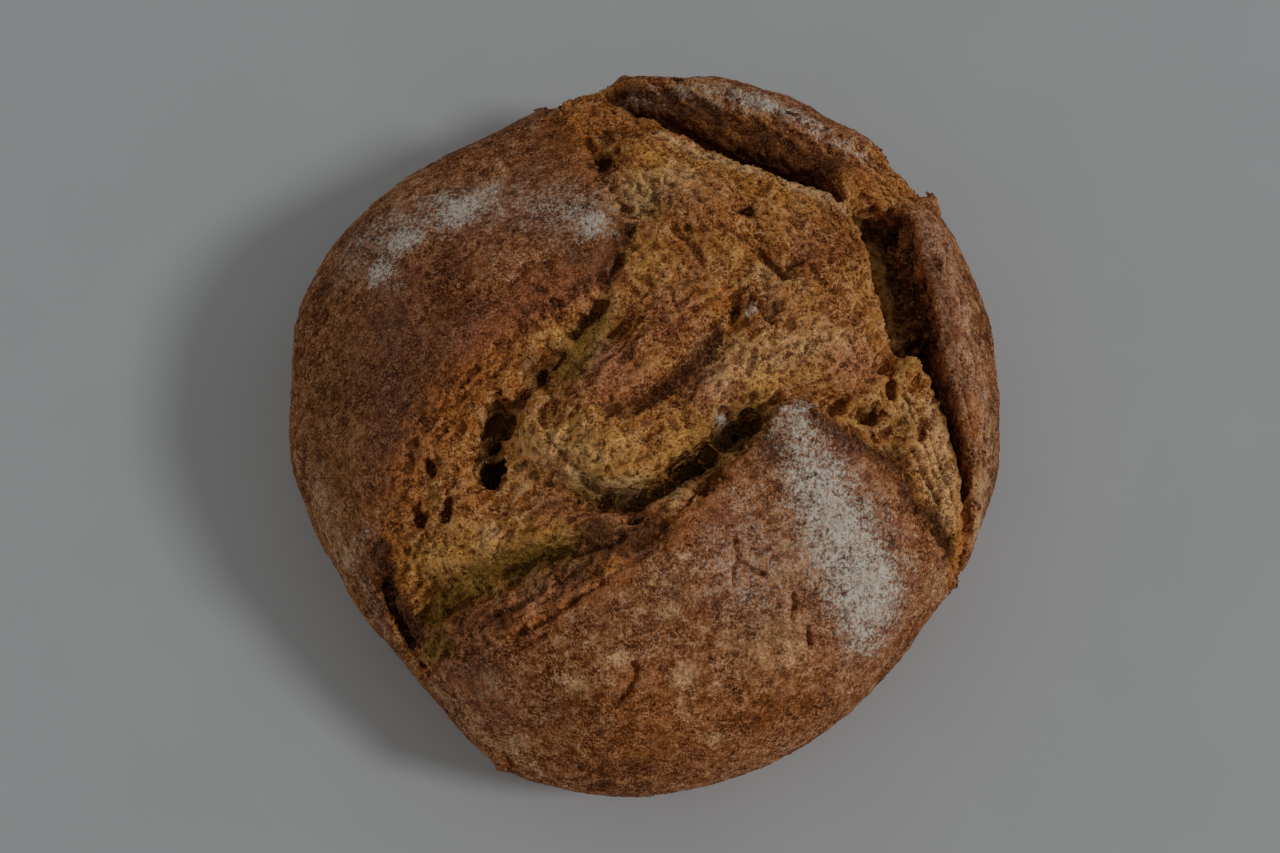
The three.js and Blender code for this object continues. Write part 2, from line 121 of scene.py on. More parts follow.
def sectionLine(steps=500):
    turn = np.linspace(0, math.pi / 2, steps)
    upper = np.c_[
        skinMap["radius"] * np.sin(turn),
        skinMap["waist"] + (skinMap["height"] - skinMap["waist"]) * np.cos(turn),
    ]
    lower = np.c_[
        skinMap["radius"] * (skinMap["foot"] + (1 - skinMap["foot"]) * np.cos(turn)),
        skinMap["waist"] * (1 - np.sin(turn)),
    ][1:]
    line = np.vstack([upper, lower])
    walked = np.r_[0, np.cumsum(np.linalg.norm(np.diff(line, axis=0), axis=1))]
    return line, walked


section, sectionWalked = sectionLine()


def outlineShare(angle):
    share = np.ones_like(angle)
    for waves, size, crest in skinMap["waves"]:
        share += size * np.cos(waves * angle - math.radians(crest))
    return share


# u, v, distance walked and depth under the plain dome, for points in metres; the base lies past the foot
def placesOnSkin(co):
    x = co[:, 0] / mm - skinMap["centre"][0]
    y = co[:, 1] / mm - skinMap["centre"][1]
    z = co[:, 2] / mm
    angle = np.arctan2(y, x)
    radius = np.hypot(x, y) / outlineShare(angle)
    upper = sectionWalked <= sectionWalked[len(section) // 2]
    byRadius = np.interp(radius, section[upper, 0], sectionWalked[upper])
    low = ~upper
    byHeight = np.interp(-z, -section[low, 1], sectionWalked[low])
    inwards = np.maximum(section[-1, 0] - radius, 0)
    footHeight = np.interp(radius, section[low, 0][::-1], section[low, 1][::-1])
    (beyond, beyondWidth), (below, belowWidth) = skinMap["beyond"], skinMap["below"]
    near, nearWidth = skinMap["nearFoot"]
    side = np.clip((radius - beyond) / beyondWidth, 0, 1) * np.clip((below - z) / belowWidth, 0, 1)
    side = np.maximum(side, np.clip((footHeight + near - z) / nearWidth, 0, 1))
    walked = byRadius * (1 - side) + (byHeight + inwards) * side
    depth = np.interp(walked, sectionWalked, section[:, 1]) - z
    return walked * np.cos(angle), walked * np.sin(angle), walked, depth


def roundedOutline(points, pieces=5):
    pts = np.array(points, float)
    count = len(pts)
    out = []
    for k in range(count * pieces):
        whole, share = divmod(k / pieces, 1)
        p0, p1, p2, p3 = (pts[(int(whole) + j - 1) % count] for j in range(4))
        d0, d1, d2 = (max(np.linalg.norm(b - a) ** 0.5, 1e-4) for a, b in ((p0, p1), (p1, p2), (p2, p3)))
        t1 = ((p1 - p0) / d0 - (p2 - p0) / (d0 + d1) + (p2 - p1) / d1) * d1
        t2 = ((p2 - p1) / d1 - (p3 - p1) / (d1 + d2) + (p3 - p2) / d2) * d1
        c2 = -3 * p1 + 3 * p2 - 2 * t1 - t2
        c3 = 2 * p1 - 2 * p2 + t1 + t2
        out.append(p1 + t1 * share + c2 * share**2 + c3 * share**3)
    return np.array(out)


def wander(u, v, shift):
    total = np.zeros_like(u)
    for length, height, twist in skinMap["ragged"]:
        across = np.cos((v - twist * u) / length + 2 * shift)
        total += height * np.sin((u + twist * v) / length + shift) * across
    return total


def tornLine(points):
    line = roundedOutline(points)
    u, v = line[:, 0], line[:, 1]
    return np.c_[u + wander(u, v, 0), v + wander(u, v, 2)]


# distance in mm from each place to a line of points
def awayFromLine(line, u, v, closed=False):
    ends = np.roll(line, -1, axis=0) if closed else line[1:]
    starts = line if closed else line[:-1]
    best = np.full(len(u), 1e9)
    for (u0, v0), (u1, v1) in zip(starts, ends):
        du, dv = u1 - u0, v1 - v0
        share = np.clip(((u - u0) * du + (v - v0) * dv) / (du * du + dv * dv + 1e-9), 0, 1)
        best = np.minimum(best, (u - u0 - share * du) ** 2 + (v - v0 - share * dv) ** 2)
    return np.sqrt(best)


# distance to a closed outline, positive inside it
def insideBy(line, u, v):
    inside = np.zeros(len(u), bool)
    for (u0, v0), (u1, v1) in zip(line, np.roll(line, -1, axis=0)):
        crosses = (v0 > v) != (v1 > v)
        if v1 != v0:
            inside ^= crosses & (u < (u1 - u0) * (v - v0) / (v1 - v0) + u0)
    away = awayFromLine(line, u, v, closed=True)
    return np.where(inside, away, -away)


def smoothStep(x):
    x = np.clip(x, 0, 1)
    return x * x * (3 - 2 * x)


# soft round patches (u, v, half width, strength) and soft lines ([(u, v), ...], half width, strength)
def soften(blobs, u, v):
    total = np.zeros(len(u))
    for blob in blobs:
        if len(blob) == 4:
            bu, bv, half, strength = blob
            away = np.hypot(u - bu, v - bv)
        else:
            line, half, strength = blob
            away = awayFromLine(np.array(line, float), u, v)
        rise = strength * np.exp(-((away / half) ** 2))
        total = np.maximum(total, rise) + 0.25 * rise
    return total


def pointsOf(thing, what="co"):
    values = np.empty(len(thing.data.vertices) * 3)
    thing.data.vertices.foreach_get(what, values)
    return values.reshape(-1, 3)


def setPoints(thing, co):
    thing.data.vertices.foreach_set("co", co.ravel())
    thing.data.update()


def normalsOf(thing):
    return pointsOf(thing, "normal")


def facesOf(thing):
    thing.data.calc_loop_triangles()
    faces = np.empty(len(thing.data.loop_triangles) * 3, int)
    thing.data.loop_triangles.foreach_get("vertices", faces)
    return faces.reshape(-1, 3)


def setGroup(thing, name, weights):
    group = thing.vertex_groups.get(name) or thing.vertex_groups.new(name=name)
    levels = 20
    steps = np.round(np.clip(weights, 0, 1) * levels).astype(int)
    for step in range(1, levels + 1):
        group.add(np.nonzero(steps == step)[0].tolist(), step / levels, "REPLACE")


def setAttribute(thing, name, values):
    attribute = thing.data.attributes.get(name) or thing.data.attributes.new(name, "FLOAT", "POINT")
    attribute.data.foreach_set("value", np.asarray(values, np.float32))


# the stops of a ramp, from pairs of place and colour
def setStops(elements, stops):
    while len(elements) > 1:
        elements.remove(elements[-1])
    for k, (place, colour) in enumerate(stops):
        stop = elements[0] if k == 0 else elements.new(place)
        stop.position = place
        stop.color = colour


# the crumb is pulled one way at the back and another in front: degrees, and the soft border between them
pullSet = {"north": -48, "south": 40, "slope": 0.35, "borderStart": 8, "borderEnd": 24}

loafSet = {
    "voxel": 0.68 * mm,
    "triangles": 194000,
    "skinSmooth": 16,
    "crumbSmooth": 3,
    "lipStep": 0.7,  # the torn side drops by this much at the lip, in mm
    "cracksDeeper": 1.4,  # the cracks are cut by this much more than is listed
    "base": (166, 6),  # the relief fades out here, walked from the crown, and over this width
    "flatFrom": 175,
    "flatUnder": 0.4 * mm,
    # cracks and small pits in the crust, and the fold inside the lip on the right: each a line of (u, v),
    # half its width and its depth, in mm
    "cracks": [
        ([(25, -53), (25.5, -58), (28, -60), (33, -62)], 0.7, 1.8),
        ([(25.5, -58), (24, -61), (24.5, -65)], 0.6, 1.4), ([(42.5, -68), (43, -71), (42, -75)], 0.7, 1.8),
        ([(47, -77), (48.5, -83)], 0.6, 1.6), ([(-4, -83), (-3, -86), (-4.5, -90), (-8, -94)], 0.8, 1.8),
        ([(-12, -62), (-24, -70), (-36, -77)], 0.6, 1), ([(2, -53), (-10, -61)], 0.6, 0.9),
        ([(-28, -76), (-40, -83)], 0.6, 1), ([(-55, 30), (-50, 34), (-49, 39)], 0.6, 0.5),
        ([(89, 36), (93, 31), (98, 25)], 0.8, 1.8), ([(95, 52), (97, 45), (96, 38)], 0.8, 1.6),
        ([(100, 36), (102, 27), (100, 20)], 0.8, 1.5), ([(94, 26), (95.5, 18), (98, 12)], 0.8, 1.4),
        ([(105, 14), (107, 6), (105, -2)], 0.8, 1.5), ([(99, -4), (104, -14), (106, -22)], 0.8, 1.4),
        ([(111, -8), (112, -18), (115, -28)], 0.8, 1.4), ([(91, 40), (93, 37)], 1.6, 1.6),
        ([(92, 13), (93, 11)], 1.6, 1.8), ([(101, 3), (102, 0)], 1.6, 1.6),
        ([(78, 51), (80, 44), (82.5, 34), (84.8, 22), (87, 10)], 2.6, 3),
        ([(99, 8), (102, 2), (104, -5)], 0.7, 1.2),
    ],
    # creases and holes of the crumb
    "creases": [
        ([(21, 37), (27, 33), (31, 29)], 1.1, 1), ([(30, 30), (34, 26), (38.5, 21.5)], 1.1, 2.6),
        ([(8, 37), (12, 31), (15, 26)], 1.2, 1.3), ([(25, 14), (24, 9)], 1.2, 2.4),
        ([(31, 13), (35, 9)], 1.2, 2.4), ([(30, 0), (29, -7)], 1, 1.2),
        ([(13, 0), (8, -8), (1, -13)], 1.4, 0.8), ([(-13, 16), (-16, 12), (-20, 7)], 1.7, 3.6),
        ([(-24, 1), (-26.5, -2)], 1.5, 3), ([(-30, -4), (-31, -7)], 1.3, 1.6),
        ([(-35, -9), (-37, -12)], 1.3, 1.8), ([(-43, -13), (-44.5, -18)], 2.6, 3.4),
        ([(-45.5, -19), (-46.5, -24)], 1.7, 4), ([(-46, -25), (-45.5, -31)], 2.6, 5),
        ([(-62, -73), (-54, -69), (-47, -65)], 1.8, 1.4), ([(-45, -61), (-34, -57), (-26, -54.5)], 2, 1.3),
        ([(64, -15.5), (68, -14)], 2, 1.8), ([(73, -5), (73, -8)], 1.3, 1.4),
        ([(84.5, -14), (84, -20)], 1.2, 2.4), ([(77, -29), (80, -27.5)], 1, 1.8),
        ([(104, -27), (106, -32)], 1, 3), ([(109.5, -37), (110.5, -42)], 1.2, 3),
        ([(70, -20), (76, -17), (80, -11)], 1, 1.6), ([(81, -24), (88, -32), (93, -42)], 0.9, 1.6),
        ([(26, 44), (28.5, 44.5)], 1.7, 3.2), ([(-14.5, 68), (-11.5, 68)], 1.4, 2.4),
        ([(-15, 60), (-14, 55)], 1.3, 1.4), ([(22, -18), (24, -17)], 1.3, 2.2),
        ([(-65, -28), (-64, -32)], 1, 3), ([(-69, -40), (-69, -47)], 1.4, 2.6),
        ([(-60, -41), (-61, -47)], 1.2, 2.8), ([(-4, -44), (-2, -43.5)], 1.3, 2.2),
        ([(4, -43), (5, -42.5)], 0.9, 1.6), ([(-7, -50), (-12, -52), (-20, -54)], 1.1, 1.6),
        ([(-85, -66), (-82, -75), (-77, -85)], 1.1, 4),
        ([(-30, -16), (-29, -24), (-24, -31), (-14, -36)], 1.2, 1.2),
        ([(-20, -60), (-30, -66), (-44, -72)], 1, 1.2), ([(-14, -60), (-26, -68), (-36, -76)], 0.9, 1),
        ([(-40, 0), (-44, -5)], 1, 1.2), ([(66, -20), (74, -27), (80, -36)], 1, 1.4),
        ([(78, -8), (84, -20), (92, -32)], 1, 1.4), ([(-12, -38.5), (-3, -38.5), (7, -35)], 2.2, 2.2),
        ([(22, -23.5), (31, -18.5)], 3.4, 2.4), ([(7, -33), (17, -28)], 2.8, 3),
        ([(86, -14), (94, -30), (100, -42)], 0.9, 1.2), ([(40, 42), (44, 38)], 0.9, 0.9),
        ([(46, 26), (50, 20)], 0.9, 0.8),
    ],
    # ridges and lumps that stand up
    "swells": [
        ([(-22, 4), (-25, 6)], 2, 2.2), ([(-31, -9), (-34, -6)], 2.2, 2),
        ([(-15, 6), (-19, 0), (-23, -5)], 3.6, 1.6),
        ([(-68, -61), (-56, -59), (-42, -57), (-30, -53)], 2.6, 1.6),
        ([(78, -12), (86, -24), (95, -38)], 1.5, 1.4), ([(70, -24), (78, -33), (86, -44)], 1.6, 1.3),
        ([(88, -26), (96, -38), (103, -52)], 1.6, 1.3), ([(60, -18), (66, -20), (71, -16)], 1.2, 1.2),
        ([(-38, -76), (-26, -68), (-14, -60)], 1.6, 1.2), ([(-50, -79), (-38, -73), (-24, -63)], 1.2, 1.2),
        ([(26, 36), (32, 31), (38, 25)], 1.5, 0.9), ([(-6, -9), (4, -3), (12, 4)], 2.2, 0.8),
        ([(34, 20), (40, 14), (47, 6)], 2, 0.8), ([(-70.5, -38), (-68.5, -42)], 1.5, 2.8),
        ([(-60.5, -39), (-61, -42.5)], 1.2, 2.6), ([(-66, -27), (-64, -28)], 0.8, 1.6),
        ([(-42, -23), (-44, -21)], 1.1, 2.4), ([(2, -42), (8, -39), (14, -35.5)], 2.2, 2.2),
        ([(83, 52), (85, 42), (88, 31), (90, 19), (93.5, 6), (99, -9), (105, -24)], 1.6, 1.5),
        ([(90, 50), (93, 42)], 2.2, 1.4), ([(96, 22), (99, 14)], 2.4, 1.2),
        ([(103, 0), (107, -12)], 2.4, 1.2), ([(86, 41), (87, 36)], 1.6, 1.2), ([(92, 12), (93, 8)], 1.6, 1.4),
        ([(30, 102), (38, 99)], 2.5, 1.2), ([(63, -12), (66, -13)], 1, 1.4),
        ([(69, -13), (70, -16)], 0.9, 1.4),
    ],
    # hollows filled up before the crumb is roughened: place, half width and height in mm
    "fills": [
        ([(-12, -53), (-26, -57), (-40, -61), (-54, -66), (-66, -73)], 6.5, 4.6),
        ([(-32, -25), (-24, -30), (-12, -32)], 4.5, 1.6), ([(7, -38.5), (15, -34.5), (23, -30)], 2.8, 4),
    ],
    # deep gaps: what lies under floorDepth mm is raised by a share of what it lies under it
    "floors": [
        ([(22, -26), (32, -20)], 7, 0.52), ([(8, -36), (19, -29)], 6, 0.45),
        ([(70, 48), (74, 32), (78, 16)], 8, 0.4),
    ],
    "floorDepth": 4,
    # where the filled hollow is smoothed
    "valley": [([(-20, -58), (-34, -63), (-48, -68), (-62, -76)], 9, 1.0)],
    "valleySmooth": 30,
    # where the worn edge of the crust is as rough as crumb
    "worn": [
        ([(-12, 30), (-26, 18), (-38, 10), (-50, 0), (-62, -8), (-72, -22), (-80, -38), (-86, -56)], 6, 1),
        ([(20, -40), (4, -50), (-14, -62), (-32, -72), (-52, -80)], 5, 0.9),
        ([(-14, 60), (-20, 74), (-28, 90)], 5, 0.8),
    ],
}


def copyNode(node, name):
    deselectAll()
    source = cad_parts[node]
    piece = source.copy()
    piece.data = source.data.copy()
    piece.name = name
    piece.data.name = name
    piece.parent = None
    for key in list(piece.keys()):
        del piece[key]
    bpy.context.scene.collection.objects.link(piece)
    editAll(piece, bpy.ops.mesh.remove_doubles, threshold=1e-6)
    return piece


def remesh(piece, size):
    step = piece.modifiers.new("evenMesh", "REMESH")
    step.mode = "VOXEL"
    step.voxel_size = size
    applyModifier(piece, "evenMesh")


def smoothOver(piece, group, turns):
    step = piece.modifiers.new("softer", "SMOOTH")
    step.factor = 0.5
    step.iterations = turns
    step.vertex_group = group
    applyModifier(piece, "softer")


# pushes a piece in and out by one of Blender's own patterns, over a vertex group
def displaceBy(piece, name, kind, size, strength, group, middle=0.5, ramp=None, stretch=None, **options):
    texture = bpy.data.textures.new(name, kind)
    for key, value in options.items():
        setattr(texture, key, value)
    texture.noise_scale = size
    if ramp:
        texture.use_color_ramp = True
        setStops(texture.color_ramp.elements, [(place, (level, level, level, 1)) for place, level in ramp])
    step = piece.modifiers.new(name, "DISPLACE")
    step.texture = texture
    step.strength = strength
    step.mid_level = middle
    step.vertex_group = group
    step.texture_coords = "LOCAL"
    guide = None
    if stretch:
        degrees, longer = stretch
        bpy.ops.object.empty_add(rotation=(0, 0, math.radians(degrees)))
        guide = bpy.context.object
        guide.scale = (longer, 1, 1)
        bpy.context.view_layer.update()
        step.texture_coords = "OBJECT"
        step.texture_coords_object = guide
    applyModifier(piece, name)
    if guide:
        bpy.data.objects.remove(guide)


# how deep a set of lines reaches at each point, its edges as uneven as torn crumb
def linesDepth(lines, u, v, pieces=6):
    uneven = 1 + 0.35 * np.sin(u / 0.9 + 1.5 * np.sin(v / 0.7)) * np.cos(v / 1.1 + np.sin(u / 1.7))
    total = np.zeros(len(u))
    for line, half, deep in lines:
        points = np.array(line, float)
        if len(line) > 2:
            points = roundedOutline(line, pieces)[: pieces * (len(line) - 1)]
        du, dv = wander(points[:, 0], points[:, 1], 1), wander(points[:, 0], points[:, 1], 3)
        away = awayFromLine(points + 0.4 * np.c_[du, dv], u, v) * uneven
        total = np.maximum(total, deep * np.exp(-((away / half) ** 2)))
    return total


loaf = copyNode("loaf", "ryeLoaf")
remesh(loaf, loafSet["voxel"])
print("loaf remeshed:", len(loaf.data.vertices), "points")

tearLine = tornLine(tearOutline)
co = pointsOf(loaf)
u, v, walked, depth = placesOnSkin(co)
inTear = insideBy(tearLine, u, v)
co[:, 2] += soften(loafSet["fills"], u, v) * mm
co[:, 2] += soften(loafSet["floors"], u, v) * np.maximum(depth - loafSet["floorDepth"], 0) * mm
setPoints(loaf, co)
torn = smoothStep(inTear + 0.5)
baseStart, baseWidth = loafSet["base"]
under = smoothStep((walked - baseStart) / baseWidth)
worn = np.clip(soften(loafSet["worn"], u, v), 0, 1) * (1 - under)
border, borderEnd = pullSet["borderStart"], pullSet["borderEnd"]
north = smoothStep((v - pullSet["slope"] * u - border) / (borderEnd - border))
setGroup(loaf, "skin", smoothStep((-inTear - 1.2) / 3))
setGroup(loaf, "crust", (1 - torn) * (1 - under))
lips = np.exp(-((np.minimum(inTear, 0) / 2.4) ** 2)) * smoothStep((2.5 - inTear) / 2)
setGroup(loaf, "lips", (1 - under) * lips)
setGroup(loaf, "crumb", np.maximum(torn, 0.6 * worn))
setGroup(loaf, "openCrumb", torn * smoothStep((inTear - 0.5) / 2))
setGroup(loaf, "pulledNorth", np.maximum(torn, 0.5 * worn) * north)
setGroup(loaf, "pulledSouth", np.maximum(torn, 0.5 * worn) * (1 - north))
smoothOver(loaf, "skin", loafSet["skinSmooth"])
smoothOver(loaf, "crumb", loafSet["crumbSmooth"])
setGroup(loaf, "valley", soften(loafSet["valley"], u, v) * torn)
smoothOver(loaf, "valley", loafSet["valleySmooth"])

# a lip where the crust breaks off, ragged along its length
co = pointsOf(loaf)
ragged = 0.6 + 0.4 * np.sin(u / 2.3 + 1.7 * np.sin(v / 3.1)) * np.cos(v / 1.9 + u / 4.7)
drop = loafSet["lipStep"] * ragged * smoothStep(inTear / 0.8 + 0.6)
drop *= np.exp(-((np.maximum(inTear, 0) / 3.5) ** 2))
co -= normalsOf(loaf) * drop[:, None] * mm
setPoints(loaf, co)
print("facets smoothed, lips cut")

# name, pattern, size and strength in mm, vertex group, and what else the pattern needs
ridges = {"middle": 0.6, "musgrave_type": "RIDGED_MULTIFRACTAL", "octaves": 3}
pits = {"middle": 1, "ramp": [(0.0, 0.0), (0.17, 0.25), (0.26, 1.0)]}
reliefSet = [
    # crumb: lumps, torn ridges along the pull, open pits and grain
    ("crumbLumps", "CLOUDS", 8, 2.4, "crumb", {"noise_depth": 2}),
    ("ridgesNorth", "MUSGRAVE", 4.2, 0.95, "pulledNorth", {"stretch": (pullSet["north"], 2.6), **ridges}),
    ("ridgesSouth", "MUSGRAVE", 4.2, 0.95, "pulledSouth", {"stretch": (pullSet["south"], 2.6), **ridges}),
    ("crumbPits", "CLOUDS", 3.0, 1.4, "openCrumb", {"noise_depth": 1, **pits}),
    ("crumbKnobs", "CLOUDS", 2.6, 1.0, "crumb", {"noise_depth": 2}),
    ("crumbGrain", "CLOUDS", 1.3, 0.55, "crumb", {"noise_depth": 1}),
    ("lipCrumbs", "CLOUDS", 2.1, 1.5, "lips", {"noise_depth": 1}),
    # crust: slow swells, blisters and grain
    ("crustSwell", "CLOUDS", 16, 1.0, "crust", {"noise_depth": 2}),
    ("crustBlisters", "CLOUDS", 3.4, 0.85, "crust", {"noise_depth": 2}),
    ("crustGrain", "CLOUDS", 1.5, 0.4, "crust", {"noise_depth": 1}),
]
for name, kind, size, strength, group, options in reliefSet:
    displaceBy(loaf, name, kind, size * mm, strength * mm, group, **options)

co = pointsOf(loaf)
normals = normalsOf(loaf)
u, v, walked, depth = placesOnSkin(co)
rise = linesDepth(loafSet["swells"], u, v) - linesDepth(loafSet["creases"], u, v)
rise -= loafSet["cracksDeeper"] * linesDepth(loafSet["cracks"], u, v)
co += normals * rise[:, None] * mm
co[:, 2] = np.maximum(co[:, 2], 0)
flatBase = walked > loafSet["flatFrom"]
co[flatBase, 2] = np.minimum(co[flatBase, 2], loafSet["flatUnder"])
setPoints(loaf, co)
print("relief is on")

step = loaf.modifiers.new("fewerFaces", "DECIMATE")
step.ratio = min(1, loafSet["triangles"] / (2 * len(loaf.data.polygons)))
applyModifier(loaf, "fewerFaces")
co = pointsOf(loaf)
co[:, 2] = np.maximum(co[:, 2], 0)
setPoints(loaf, co)
print("loaf faces:", len(loaf.data.polygons))

